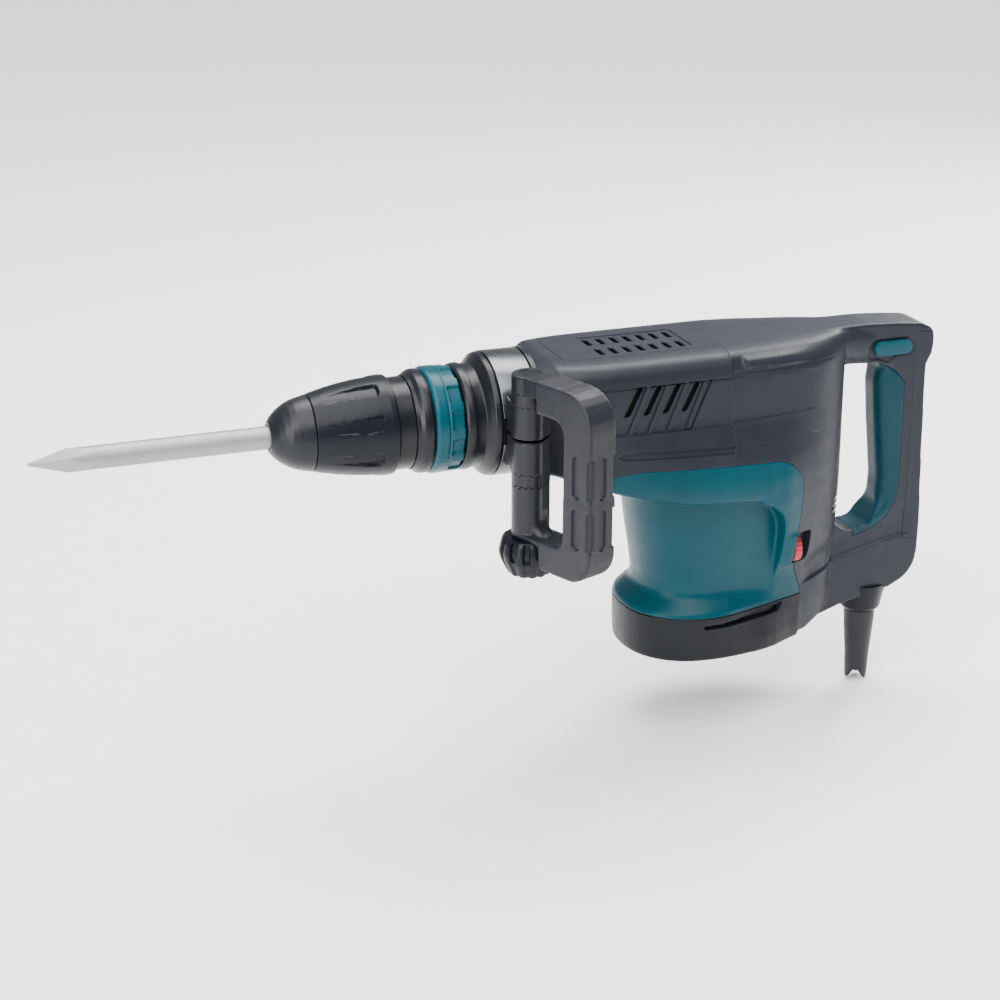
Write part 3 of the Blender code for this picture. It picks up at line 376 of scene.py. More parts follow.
# ---- skins: surfaces that are scored, pushed and trimmed --------------------
class Skin:
    """A closed surface held as points (millimetres), their rest normals and faces."""

    def __init__(self, points, faces, normals):
        self.points, self.faces, self.normals = points, faces, normals

    def copy(self):
        return Skin(self.points.copy(), self.faces.copy(), self.normals.copy())

    def score(self, field, level=0.0):
        """Splits the faces that the line field = level crosses; returns each point's side."""
        value = field(*self.points.T) - level
        side = np.where(np.abs(value) < 0.03, 0, np.sign(value)).astype(int)
        around = np.where(self.faces >= 0, side[self.faces], 0)
        crossed = (around.max(1) > 0) & (around.min(1) < 0)
        new, points, normals, split = {}, [], [], []
        for face in self.faces[crossed]:
            loop = [i for i in face if i >= 0]
            above, below = [], []
            for here, there in zip(loop, loop[1:] + loop[:1]):
                if side[here] >= 0:
                    above.append(here)
                if side[here] <= 0:
                    below.append(here)
                if side[here] * side[there] < 0:
                    key = (min(here, there), max(here, there))
                    if key not in new:
                        share = value[here] / (value[here] - value[there])
                        new[key] = len(self.points) + len(points)
                        points.append(self.points[here] * (1 - share) + self.points[there] * share)
                        normals.append(self.normals[here] * (1 - share) + self.normals[there] * share)
                    above.append(new[key])
                    below.append(new[key])
            split += in_fours(above) + in_fours(below)
        if points:
            self.points = np.vstack([self.points, points])
            self.normals = np.vstack([self.normals, normals])
            self.faces = np.vstack([self.faces[~crossed], split])
            side = np.concatenate([side, np.zeros(len(points), int)])
        return side

    def trim(self, field, level=0.0):
        """Keeps what lies where field is below level."""
        side = self.score(field, level)
        total = np.where(self.faces >= 0, side[self.faces], 0).sum(1)
        self.faces = self.faces[total < 0]
        used = np.unique(self.faces[self.faces >= 0])
        number = np.full(len(self.points), -1)
        number[used] = np.arange(len(used))
        self.faces = np.where(self.faces >= 0, number[self.faces], -1)
        self.points, self.normals = self.points[used], self.normals[used]
        return self

    def push(self, depth):
        """Moves each point inwards by depth(x, y, z)."""
        self.points = self.points - self.normals * depth(*self.points.T)[:, None]

    def recess(self, field, depth, wall=0.5):
        """Sinks what lies inside field < 0, with a wall this wide round it."""
        self.score(field, 0.0)
        self.score(field, -wall)
        self.push(lambda x, y, z: depth * np.clip(-field(x, y, z) / wall, 0, 1))

    def inside(self, field):
        """A copy of what lies inside field, half a seam's gap short of its edge."""
        return self.copy().trim(field, -SEAM_GAP)

    def placed(self, turn=0.0):
        """The same skin turned about its own upright axis and moved to the clamp bolt."""
        c, s = math.cos(turn), math.sin(turn)
        spin = np.array(((c, s, 0), (-s, c, 0), (0, 0, 1)))
        return Skin(self.points @ spin + (CLAMP_X, CLAMP_Y, 0), self.faces, self.normals @ spin)

    def piece(self, name, material, body, slot, replaced=(), wall=WALL, crease=38):
        thing = show(name, make_mesh(name, self.points, self.faces), material, body, replaced,
                     crease)
        shell = thing.modifiers.new("wall", 'SOLIDIFY')
        shell.thickness = wall / 1000
        shell.offset = -1


def merged(name, forms, voxel, smoothing):
    """One skin round overlapping closed forms."""
    points, faces, start = [], [], 0
    for form_points, form_faces in forms:
        points.append(form_points)
        faces.append(np.where(form_faces >= 0, form_faces + start, -1))
        start += len(form_points)
    mesh = make_mesh(name, np.vstack(points), np.vstack(faces), 0.001, (0, 0, 0))
    thing = add_object(name, mesh)
    remesh = thing.modifiers.new("merge", 'REMESH')
    remesh.mode = 'VOXEL'
    remesh.voxel_size = voxel / 1000
    smooth = thing.modifiers.new("smooth", 'SMOOTH')
    smooth.factor = 0.5
    smooth.iterations = smoothing
    return skin_of(final_mesh(thing), 1000)


def skin_of(mesh, scale):
    """Skin with the points, faces (of up to 4 corners) and normals of a mesh."""
    count = len(mesh.vertices)
    co, no = np.empty(count * 3), np.empty(count * 3)
    mesh.vertices.foreach_get("co", co)
    mesh.vertex_normals.foreach_get("vector", no)
    corners = np.empty(len(mesh.loops), np.int32)
    mesh.loops.foreach_get("vertex_index", corners)
    sizes = np.empty(len(mesh.polygons), np.int32)
    mesh.polygons.foreach_get("loop_total", sizes)
    faces = np.full((len(sizes), 4), -1)
    faces[np.arange(4)[None, :] < sizes[:, None]] = corners
    return Skin(co.reshape(-1, 3) * scale, faces, no.reshape(-1, 3))


def prism(outlines, low, high, edge, steps=5):
    """Closed (x, z) outlines extruded across the tool, with rounded edges, as a form."""
    curve = bpy.data.curves.new("prism", 'CURVE')
    curve.dimensions = '2D'
    curve.fill_mode = 'BOTH'
    curve.extrude = (high - low) / 2000
    for line in outlines:
        spline = curve.splines.new('POLY')
        spline.points.add(len(line) - 1)
        for point, (a, b) in zip(spline.points, line):
            point.co = (a / 1000, b / 1000, 0, 1)
        spline.use_cyclic_u = True
    solid = add_object("prism", final_mesh(add_object("prism", curve)))
    weld = solid.modifiers.new("weld", 'WELD')
    weld.merge_threshold = 0.00002
    bevel = solid.modifiers.new("round", 'BEVEL')
    bevel.width = edge / 1000
    bevel.segments = steps
    bevel.limit_method = 'ANGLE'
    bevel.angle_limit = math.radians(60)
    done = final_mesh(solid)
    a, b, c = (np.array([v.co for v in done.vertices]) * 1000).T
    points = np.stack((a, (low + high) / 2 - c, b), axis=1)
    faces = [face for polygon in done.polygons for face in in_fours(list(polygon.vertices))]
    return points, np.array(faces)


# ---- the housings' master form --------------------------------------------
# Stations along the tool: (x, top, half width under the roll, at the shoulder, underside).
BODY_ROWS = (
    (207.5, 38.6, 46.0, 34.0, -46.0), (220.0, 45.4, 51.0, 42.0, -47.5),
    (242.0, 45.5, 56.0, 52.0, -55.0), (262.5, 45.5, 57.5, 62.0, -61.0),
    (300.0, 45.5, 58.0, 70.5, -70.0), (330.0, 45.5, 58.0, 73.4, -75.0),
    (361.0, 45.5, 58.0, 74.2, -77.0), (391.0, 45.4, 57.8, 73.6, -79.5),
    (430.0, 44.9, 54.0, 57.0, -80.0),
)
# Half widths of the rear block at these heights, from the roll down to the foot.
REAR_HEIGHTS = (26, 3, -12, -26, -43, -60, -80, -100, -135, -154, -174, -205)
REAR_WIDTHS = (
    (386.0, 57.3, 58.8, 60.0, 65.8, 69.6, 72.6, 73.2, 71.5, 61.5, 47.0, 50.0, 55.0),
    (406.0, 57.5, 58.8, 60.0, 64.3, 68.0, 71.5, 71.0, 67.5, 57.5, 46.0, 46.0, 51.5),
    (420.0, 56.5, 57.6, 58.6, 61.2, 64.0, 66.5, 66.0, 63.0, 55.0, 44.5, 42.0, 46.5),
    (430.0, 55.0, 56.0, 56.8, 58.8, 60.5, 62.0, 61.5, 59.0, 52.5, 42.0, 39.5, 42.5),
    (441.0, 52.0, 53.0, 53.6, 55.0, 56.2, 57.0, 56.5, 54.5, 48.5, 38.5, 36.0, 37.0),
    (452.0, 47.0, 47.8, 48.4, 49.5, 50.4, 51.0, 50.5, 48.5, 43.5, 34.0, 33.0, 32.0),
    (468.0, 36.0, 36.7, 37.2, 38.0, 38.6, 39.0, 38.5, 37.0, 33.5, 27.5, 27.0, 24.0),
    (476.5, 28.5, 28.5, 28.5, 28.5, 28.8, 29.0, 29.0, 28.0, 26.0, 21.5, 21.0, 18.5),
)
# The rear block's top: (x, height, how much of the half width is flat).
REAR_TOPS = ((386.0, 45.4, 0.61), (400.0, 45.3, 0.58), (417.0, 45.1, 0.53), (437.0, 44.9, 0.49),
             (455.0, 44.8, 0.50), (470.0, 44.6, 0.56), (476.5, 44.4, 0.58))
# How low the rear block reaches along x: the arch over the motor, then the pillar behind it.
ARCH_FLOORS = ((386.0, -78.8), (392.0, -80.8), (398.0, -84.5), (404.0, -89.6), (408.0, -96.2),
               (410.0, -103.0), (411.0, -113.5), (440.0, -113.5))
PILLAR_FLOORS = ((411.0, -213.0), (450.0, -213.0), (468.0, -206.0), (476.5, -198.0))
# The upper arm's root, from the block to the grip: (x, top, half width, underside).
ARM_ROWS = ((446.0, 44.8, 38.0, 16.0), (460.0, 44.7, 36.0, 16.0), (470.0, 44.5, 31.5, 15.0),
            (476.5, 44.4, 27.6, 14.5), (484.0, 44.3, 24.4, 14.0), (495.0, 44.1, 21.2, 14.0),
            (507.0, 43.8, 19.0, 14.0), (518.0, 43.0, 17.6, 14.0))
# Motor drum, skirt and end cap: (z, front radius, taper of the sides, rear end).
DRUM_ROWS = (
    (-70.0, 60.0, 0.16, 415.0), (-99.0, 57.2, 0.15, 415.0), (-117.0, 54.8, 0.14, 415.0),
    (-135.0, 51.9, 0.12, 415.0), (-153.0, 49.2, 0.11, 418.0), (-161.0, 48.6, 0.11, 424.0),
    (-165.0, 50.2, 0.15, 430.0), (-170.0, 55.0, 0.25, 438.0), (-174.5, 59.2, 0.32, 441.0),
    (-178.5, 60.6, 0.33, 441.0), (-190.0, 60.6, 0.33, 441.0), (-205.0, 60.3, 0.33, 441.0),
    (-214.5, 59.8, 0.33, 440.5), (-216.4, 59.0, 0.33, 440.0), (-217.0, 57.6, 0.33, 439.0),
)
HANDLE_OUTLINE = ((452, 44.8, 0), (503, 44.8, 40), (530, 43.2, 40), (553, 40.8, 14),
                  (HANDLE_BACK_X, 35.0, 9), (HANDLE_BACK_X, 15, 16), (559.2, 5, 12), (560.5, -60, 60),
                  (563.5, -140, 60), (562.0, -182, 30), (538, -194, 24), (492, -203.5, 40),
                  (461, -213.5, 3), (445, -213.5, 0))
OPENING = ((476.5, 12.5, 9), (519, 10, 6), (516.5, -10, 25), (519, -41, 60), (525, -95, 35),
           (524, -118, 16), (513, -136, 12), (492, -137, 12), (476.5, -126, 10))
HANDLE_HALF = 18.0
GRIP_PAD = rounded(((490, 11.6, 0), (508, 11.0, 2), (520.5, 7.4, 8), (531, 1.6, 10), (539.8, -9, 10),
                    (539.8, -106, 14), (531, -128, 14), (522, -135.5, 4), (490, -146, 0)))
HOOD = rounded(((503, 31, 8), (546.2, 31, 7), (546.2, 15.5, 3), (530, 14.5, 4), (522, 8.4, 4),
                (513, 12.8, 4), (503, 12.4, 4)))
# The lower arm's ledge: places along x and its height at each.
LEDGE = ((441, 450, 528, 560), (-171.5, -169.7, -151.1, -146.0))
TEAL_REGION = rounded(((232, -52, 0), (258, -44.6, 10), (282, -41.0, 30), (425.3, -45.6, 30),
                       (425.3, -139, 3), (CAP_REAR_X, -174.5, 5), (CAP_REAR_X, -260, 0), (232, -260, 0)), 8)


def roll_section(top, width, flat=0.62):
    """Half section of the flat top and the rolled edge beside it."""
    roll, deep = (1 - flat) * width, 1 + 4 * (0.62 - flat)
    return [(0, top), ((flat - 0.07) * width, top), (flat * width + 0.40 * roll, top - 1.2 * deep),
            (flat * width + 0.72 * roll, top - 4.6 * deep),
            (flat * width + 0.93 * roll, top - 11.0 * deep ** 0.5), (width, 26.0)]


def both_sides(x, half):
    """Closed ring at x from a half section that runs from the top centre to the bottom centre."""
    y, z = np.array(half).T
    near = np.stack([np.full(len(y), x), -y, z], axis=1)
    return np.vstack([near, near[-2:0:-1] * (1, -1, 1)])


def body_form():
    rings = []
    xs = np.concatenate([np.linspace(207.5, 220, 5), np.linspace(224, 430, 46)])
    smooth = flowing(BODY_ROWS[1:], xs)
    for x, row in zip(xs, smooth):
        if x < 220:
            share = (x - 207.5) / 12.5
            row = (1 - share) * np.array(BODY_ROWS[0][1:]) + share * np.array(BODY_ROWS[1][1:])
        top, width, shoulder, floor = row
        flat = np.interp(x, (380, 400, 417, 430), (0.62, 0.56, 0.50, 0.45))
        half = roll_section(top, width, flat) + [(width + 1.5, 3)]
        spreads = ((0.19, 0.17), (0.36, 0.55), (0.56, 0.78), (0.80, 1.0), (0.93, 1.0))
        half += [(width + s * (shoulder - width), 3 + d * (floor - 3)) for d, s in spreads]
        half += [(shoulder - 5, floor), (shoulder - 18, floor + 1), (0, floor + 1)]
        rings.append(both_sides(x, softened(half)))
    return skinned(rings)


def rear_form(xs, floor_rows):
    rings = []
    tops, floors = flowing(REAR_TOPS, xs), np.interp(xs, *np.array(floor_rows).T)
    widths = flowing(REAR_WIDTHS, xs)
    for x, (top, flat), floor, width in zip(xs, tops, floors, widths):
        side = np.linspace(26, floor, 26)[1:]
        out = np.interp(side, REAR_HEIGHTS[::-1], width[::-1])
        half = roll_section(top, width[0], flat) + list(zip(out, side))
        half += [(out[-1] - 2.5, floor - 1.5), (0, floor - 1.5)]
        rings.append(both_sides(x, softened(half, 1)))
    return skinned(rings)


def arm_form():
    rings = []
    xs = np.linspace(446, 518, 26)
    for x, (top, width, floor) in zip(xs, flowing(ARM_ROWS, xs)):
        half = [(0, top), (0.52 * width, top), (0.76 * width, top - 1.6), (0.92 * width, top - 6.0),
                (width, 32.0), (width, 24.0), (0.93 * width, 18.0), (0.7 * width, floor), (0, floor)]
        rings.append(both_sides(x, softened(half)))
    return skinned(rings)


def drum_form():
    rings = []
    for z, radius, taper, rear in DRUM_ROWS:
        lean = 1 + 0.06 * np.clip((-150 - z) / 25, 0, 1)
        angle = np.linspace(0.5 * math.pi, 1.5 * math.pi, 49)
        bulge = 2 / 2.25
        front = [(MOTOR_X - 4 + lean * (radius + 1) * np.sign(a) * abs(a) ** bulge,
                  radius * np.sign(b) * abs(b) ** bulge) for a, b in zip(np.cos(angle), np.sin(angle))]
        start = MOTOR_X + 6
        xs = np.linspace(start, rear, 9)
        edge = radius - taper * (xs - start) * np.clip((xs - start) / 30 + 0.5, 0, 1)
        if z < CAP_Z:
            low = np.clip((CAP_Z - z) / 30, 0, 1)
            high_drop = np.interp(xs, (361, 369, 404, 441), (0, 1.8, 12.3, 24.8))
            low_drop = np.interp(xs, (361, 373, 385, 396, 409, 424, 439), (0, 0.3, 2.0, 3.2, 6.5, 14.0, 21.6))
            edge = radius - (1 - low) * high_drop - low * low_drop
        near = [(x, -y) for x, y in zip(xs, edge)]
        far = [(x, y) for x, y in zip(xs[::-1], edge[::-1])]
        outline = np.array(front + near + far)
        rings.append(np.column_stack([outline, np.full(len(outline), z)]))
    return skinned(rings)


def housing_master():
    handle = prism([rounded(HANDLE_OUTLINE), rounded(OPENING)], -HANDLE_HALF, HANDLE_HALF, edge=9.5)
    block = rear_form(np.linspace(386, 440, 34), ARCH_FLOORS)
    pillar = rear_form(np.linspace(411, 476.5, 28), PILLAR_FLOORS)
    return merged("housing_form", [body_form(), block, pillar, arm_form(), drum_form(), handle], 1.25, 8)


def teal_field(x, y, z):
    return within(TEAL_REGION, x, z)


def box_field(low_x, high_x, low_y, high_y, radius=0.0):
    """Signed distance to a rounded rectangle in two coordinates."""
    def field(a, b):
        da = np.abs(a - (low_x + high_x) / 2) - (high_x - low_x) / 2 + radius
        db = np.abs(b - (low_y + high_y) / 2) - (high_y - low_y) / 2 + radius
        return np.hypot(np.maximum(da, 0), np.maximum(db, 0)) + np.minimum(np.maximum(da, db), 0) - radius
    return field


def slanted_slots(x, z, starts, width, low, high, lean, radius=1.2):
    """Signed distance to a row of slots that lean back as they rise."""
    straight = x - lean * (z - low)
    slots = [box_field(start, start + width, low, high, radius)(straight, z) for start in starts]
    return np.min(slots, axis=0)


SLOT_STARTS = [268.6 + 16.2 * i for i in range(4)]
RIB_STARTS = [271.8 + 16.3 * i for i in range(4)]


def detail_sides(skin):
    """Everything sunk into both side faces."""
    def on_side(field):
        return lambda x, y, z: np.maximum(field(x, z), 25.0 - np.abs(y))

    panel = rounded(((222, 27.0, 2), (SEAM_X, 26.2, 0), (SEAM_X, -12.5, 0), (240, -12.5, 3), (226, 2, 4)))
    skin.recess(on_side(lambda x, z: within(panel, x, z)), 1.1, 0.5)
    rear_panel = rounded(((SEAM_X, 26.4, 0), (452, 24.0, 0), (452, -8.0, 0), (SEAM_X, -10.8, 0)))
    shallow = on_side(lambda x, z: within(rear_panel, x, z))
    for level in (0.0, -0.5):
        skin.score(shallow, level)
    skin.push(lambda x, y, z: 1.1 * np.clip(-shallow(x, y, z) / 0.5, 0, 1) * (1 - ramp(x, 405, 446)))
    vents = rounded(((259.0, -11.4, 0), (325.6, -12.4, 0), (344.0, 26.0, 0), (277.8, 26.0, 0)))

    def vent_panel(x, z):
        ribs = slanted_slots(x, z, RIB_STARTS, 3.7, -11.2, 60.0, 0.44, 0.3)
        return np.maximum(within(vents, x, z), -ribs)
    skin.recess(on_side(vent_panel), 1.5, 0.6)
    crease = rounded(((262, -28.6, 0), (272, -25.4, 3), (SEAM_X, -28.6, 0), (SEAM_X, -34.2, 0),
                      (268, -31.4, 2)))
    skin.recess(on_side(lambda x, z: within(crease, x, z)), 1.6, 0.6)

    def rear_line(x, z):
        return z + 30.4 - 0.038 * (x - 366)
    edge = on_side(lambda x, z: overlap(rear_line(x, z), SEAM_X - x, -60 - z))
    for level in (0.0, -0.6):
        skin.score(edge, level)
    skin.push(lambda x, y, z: 0.9 * np.clip(-edge(x, y, z) / 0.6, 0, 1) * ramp(z, -46, -30)
              * (1 - ramp(x, 425, 449)))

    def ledge(x, y, z):
        rise = z - np.interp(x, *LEDGE)
        return overlap(rise, -14 - rise, 441 - x, x - 560)
    skin.score(ledge)
    sideways = skin.normals[:, 1] ** 2

    def hollow(x, y, z):
        rise = z - np.interp(x, *LEDGE)
        band = ramp(rise, 0, 2.5) * (1 - ramp(rise, 14, 36))
        return 2.4 * band * ramp(x, 438, 454) * (1 - ramp(x, 540, 556)) * sideways
    skin.push(hollow)


def detail_top(skin):
    """Top plate, vents' panel and the raised pad behind the seam."""
    plate = box_field(229, 400, -31.2, 31.2, 1.5)
    for level in (-0.45, 0.0, 0.45):
        skin.score(lambda x, y, z: np.where(x < SEAM_X + 1, np.maximum(plate(x, y), 38 - z), 9.0), level)
    skin.push(lambda x, y, z: np.where((z > 38) & (x < SEAM_X),
                                       0.5 * np.clip(1 - np.abs(plate(x, y)) / 0.45, 0, 1), 0))
    vents = box_field(259.5, 341, -25, 25, 1.5)
    skin.recess(lambda x, y, z: np.maximum(vents(x, y), 38 - z), 1.0, 0.6)
    pad = box_field(371.5, 470, 30.5, 60, 6.0)
    skin.score(lambda x, y, z: np.where(x > SEAM_X + 2, pad(x, z), 9.0), 0.0)

    def raised(x, y, z):
        on_roll = ramp(z, 28, 32) * (1 - ramp(z, 36, 41.5)) * ramp(np.abs(y), 36, 45)
        gutter = 1.6 * ramp(pad(x, z), 0, 1.4)
        proud = 2.7 * ramp(-pad(x, z), 0, 1.6) * (1 - ramp(x, 400, 445))
        return np.where((z > 27) & (x > SEAM_X), on_roll * (gutter - proud), 0)
    skin.push(raised)


def vent_holes(x, y, z):
    """Seven slots in two rows through the top cover."""
    slots = [box_field(262.5 + 11.5 * i, 267.7 + 11.5 * i, low, high, 1.3)(x, y)
             for i in range(7) for low, high in ((-22.0, -4.5), (4.5, 22.5))]
    return np.maximum(np.min(slots, axis=0), 38 - z)


def side_holes(x, y, z):
    slots = slanted_slots(x, z, SLOT_STARTS, 5.4, 2.4, 24.8, 0.52)
    return np.maximum(slots, 25 - np.abs(y))


def dial_pocket(x, y, z):
    return np.maximum(box_field(422.7, 441.0, -145.0, -114.5, 4.0)(x, z), y + 25)


def hood(x, y, z):
    """Scooped frame round the switch slide."""
    return np.maximum(within(HOOD, x, z), 6 - np.abs(y))


def inlet(x, y, z):
    """Long wedge of the cooling air inlet, low in the end cap's sides."""
    shape = rounded(((341, -185.4, 0.8), (425, -180.0, 1.5), (417, -187.2, 1.5), (344, -188.6, 0.8)))
    return np.maximum(within(shape, x, z), 20 - np.abs(y))


def rear_vents(x, y, z):
    slots = [box_field(466, 490, low, low + 3.2, 1.2)(x, z) for low in (-101.0, -106.5, -112.0)]
    return overlap(np.min(slots, axis=0), 17 - np.abs(y), x - 490)


def round_grip(skin):
    """Narrows the front of the rear grip, so that it is round in the hand."""
    x, y, z = skin.points.T
    away = np.clip(1 - within(rounded(OPENING), x, z) / 17, 0, 1)
    zone = ramp(x, 500, 513) * ramp(z, -130, -108) * (1 - ramp(z, 0, 11))
    skin.points[:, 1] = y * (1 - 0.7 * zone * (1 - np.sqrt(1 - away ** 2)))


def back_cover(x, y, z):
    return overlap(BACK_SEAM_X - x, z - 34.4, -150.3 - z)


def grip_pad(x, y, z):
    return np.maximum(within(GRIP_PAD, x, z), 500 - x)


def housings():
    master = housing_master()
    round_grip(master)
    detail_sides(master)
    detail_top(master)
    for field, depth, wall in ((dial_pocket, 6.5, 0.8), (inlet, 4.5, 2.2), (rear_vents, 1.8, 0.7),
                               (hood, 1.1, 1.6)):
        master.recess(field, depth, wall)

    top = master.inside(lambda x, y, z: np.maximum(x - SEAM_X, LID_Z - z))
    top.trim(lambda x, y, z: -vent_holes(x, y, z))
    top.piece("top_cover_shell", BLACK, "tool_body", "black_plastic", ("top_cover",))

    front = master.inside(lambda x, y, z: overlap(x - SEAM_X, z - LID_Z, -teal_field(x, y, z)))
    front.trim(lambda x, y, z: -side_holes(x, y, z))
    front.trim(lambda x, y, z: np.where(x < 215, 30.0 - np.hypot(y, z), -1.0))
    front.piece("front_housing_shell", BLACK, "tool_body", "black_plastic", ("front_housing",))

    # Near-black matte screens a little way in behind the vents: painted shade standing in for the dark inside
    # of the housing.
    for name, holes in (("top_vent_screen", vent_holes), ("side_vent_screen", side_holes)):
        screen = master.copy().trim(holes, 1.0)
        screen.push(lambda x, y, z: 3.4 + 0 * x)
        screen.piece(name, VENT_SHADE, "tool_body", "black_plastic", wall=0.6)

    motor = master.inside(lambda x, y, z: np.maximum(teal_field(x, y, z), CAP_Z - z))
    # A lip stands up in front of the dial.
    motor.push(lambda x, y, z: -2.4 * ramp(x, 411, 423) * (1 - ramp(np.abs(z + 129), 12, 17)) * (y < -25))
    motor.piece("motor_housing_shell", TEAL, "tool_body", "teal_plastic", ("motor_housing",))

    cap = master.inside(lambda x, y, z: np.maximum(x - CAP_REAR_X, z - CAP_Z))
    cap.piece("motor_end_cap_shell", SLEEVE, "tool_body", "black_plastic", ("motor_end_cap",))

    rear = master.inside(lambda x, y, z: overlap(SEAM_X - x, -teal_field(x, y, z), -back_cover(x, y, z),
                                                 -grip_pad(x, y, z)))
    rear.piece("rear_housing_shell", BLACK, "tool_body", "black_plastic", ("rear_housing",))
    back = master.inside(back_cover)
    back.piece("handle_back_shell", BLACK, "tool_body", "black_plastic", ("handle_back_cover",))
    grip = master.inside(grip_pad)
    grip.push(lambda x, y, z: -0.5 * ramp(-grip_pad(x, y, z), 0, 2.0))
    grip.piece("grip_pad_skin", TEAL_RUBBER, "tool_body", "teal_rubber", ("grip_pad",))


# ---- chisel, tool holder and rings --------------------------------------------
CHISEL_TIP = -183.8
FLUTES, FLUTE_TURN = 8, math.radians(161)      # the first flute, measured from +y towards +z
POCKETS, POCKET_TURN = 12, math.radians(166.5)


def off_nearest(turn, count, first):
    """Angle from the nearest of count even places round the axis."""
    pitch = 2 * math.pi / count
    return (turn - first + pitch / 2) % pitch - pitch / 2


def chisel():
    """18 mm bar drawn down to a four-sided point, with a slightly rounded tip."""
    turn = np.linspace(0, 2 * math.pi, 96, endpoint=False)
    square = 1 / np.maximum(np.abs(np.cos(turn - math.radians(20))), np.abs(np.sin(turn - math.radians(20))))
    rings = []
    xs = np.concatenate([CHISEL_TIP + np.array([0, 0.25, 0.8, 1.6]), np.linspace(-180, -134, 60),
                         np.linspace(-132, 30, 30), (35.9, 36.1, 60, 75.9, 76.1, 90.5)])
    for x in xs:
        along = x - CHISEL_TIP
        flat = 0.45 + 0.1455 * (along + 0.6) * 9 / 6.36
        tip = 9.0 * min(1, 0.13 + 0.30 * math.sqrt(along))
        reach = np.minimum(np.minimum(flat * square, 9.0), tip)
        if 36 < x < 76:
            slot_side = np.abs(np.cos(turn)) * 9 < 4.3
            reach = np.where(slot_side, 6.6 / np.maximum(np.abs(np.sin(turn)), 0.5), reach)
        rings.append(np.stack([np.full(96, x), reach * np.cos(turn), reach * np.sin(turn)], axis=1))
    solid_piece("chisel_bar", skinned(rings), BLASTED, "chisel", ("bull_point_chisel",),
                crease=20)


def flute_cuts(x, r, turn):
    """Eight long scallops that deepen towards the rear of the release cover."""
    across = np.abs(off_nearest(turn, FLUTES, FLUTE_TURN)) * 38
    width = 4.6 + 2.0 * ramp(x, 38, 80)
    end = np.hypot(np.maximum(x - 77, 0), np.maximum(across - width + 4, 0))
    inside = np.where(x > 77, np.minimum(width - across, 4.6 - end), width - across)
    depth = 2.6 * ramp(x, 33, 80) * np.clip(inside / 0.7, 0, 1)
    return x, np.where(r > 29.5, r - depth, r)


def pocket_cuts(x, r, turn):
    """Twelve shallow rounded pockets behind the change ring's smooth band."""
    across = np.abs(off_nearest(turn, POCKETS, POCKET_TURN)) * 42 - 7.0
    along = 134.0 - x
    edge = np.hypot(np.maximum(across + 1.5, 0), np.maximum(along + 1.5, 0)) - 1.5
    edge = edge + np.minimum(np.maximum(across + 1.5, along + 1.5), 0)
    return x, np.where(r > 38, r - 1.8 * np.clip(-edge / 0.7, 0, 1), r)


def holder_rings():
    cap = [(-1.5, 12.0, 0.3), (0.8, 15.4, 1.5), (3.6, 18.3, 3), (7.6, 21.6, 5), (12.7, 24.8, 5),
           (17.5, 26.9, 8), (22.6, 28.3, 8), (29.6, 29.8, 0.5), (29.6, 16.6, 0.3), (3.9, 16.6, 0.3),
           (3.9, 9.6, 0.3), (-1.5, 9.6, 0.3)]
    turned_piece("nose_cap", cap, CAP_RUBBER, "spindle", ("dust_cap",))
    cover = [(30.1, 29.9, 0.5), (38.8, 32.3, 20), (48.6, 34.5, 20), (58.4, 36.3, 20), (68.0, 37.7, 20),
             (78.0, 38.7, 20), (88.0, 39.3, 5), (92.2, 39.0, 1.5), (93.4, 37.4, 0.5), (93.4, 36.9, 0.2),
             (85, 36.9, 0.2), (62, 33.6, 1), (58, 31, 1), (33, 27.1, 1), (30.1, 27.1, 0.3)]
    turned_piece("release_sleeve", cover, SLEEVE, "release_sleeve",
                 ("release_cover",), steps=FINE_STEPS, shape=flute_cuts, step=0.9, crease=30)
    neck = [(92.6, 36.3, 0.3), (99.0, 36.3, 3), (106.4, 36.4, 0.2), (106.4, 24.6, 0.2), (92.6, 24.6, 0.2)]
    turned_piece("neck", neck, PAINTED, "spindle", ("holder_neck",))
    flare = [(107.0, 36.9, 0.3), (109.5, 37.9, 4), (112.6, 40.2, 4), (115.0, 41.0, 2), (118.6, 41.1, 1),
             (119.6, 40.2, 0.6), (120.7, 40.0, 0.3), (120.7, 30.2, 0.2), (113, 30.2, 0.2),
             (113, 37.0, 0.1), (107, 36.85, 0.1)]
    turned_piece("ring_flare", flare, PAINTED, "index_ring", ("change_ring_flange",))
    band = [(121.2, 40.3, 0.3), (122.4, 41.6, 1.2), (124.0, 42.3, 1.2), (130.6, 42.3, 0.6),
            (131.4, 41.5, 0.4), (132.2, 41.5, 0.4), (132.8, 42.0, 0.4), (143.3, 42.0, 0.8),
            (144.4, 41.0, 0.5), (144.4, 30.2, 0.3), (121.2, 30.2, 0.3)]
    turned_piece("change_ring_band", band, TEAL_RING, "index_ring", ("change_ring",),
                 steps=FINE_STEPS, shape=pocket_cuts, step=0.6, crease=30)
    tube = [(107.6, 29.5, 0.3), (145.7, 29.5, 0.3), (145.7, 40.4, 0.4), (147.6, 41.9, 1.5),
            (151.0, 42.4, 1.5), (153.2, 42.3, 0.6), (154.0, 41.5, 0.5), (157.0, 41.3, 3),
            (161.4, 41.3, 1.5), (164.0, 44.8, 2.5), (167.4, 48.3, 2.5), (170.4, 49.1, 1.2),
            (171.7, 48.9, 0.4), (171.7, 47.9, 0.2), (202.6, 47.9, 0.2), (202.6, 49.8, 0.4),
            (206.8, 49.8, 0.5), (206.8, 24.5, 0.3), (107.6, 24.5, 0.3)]
    turned_piece("barrel_casting", tube, PAINTED, "tool_body", ("barrel",))


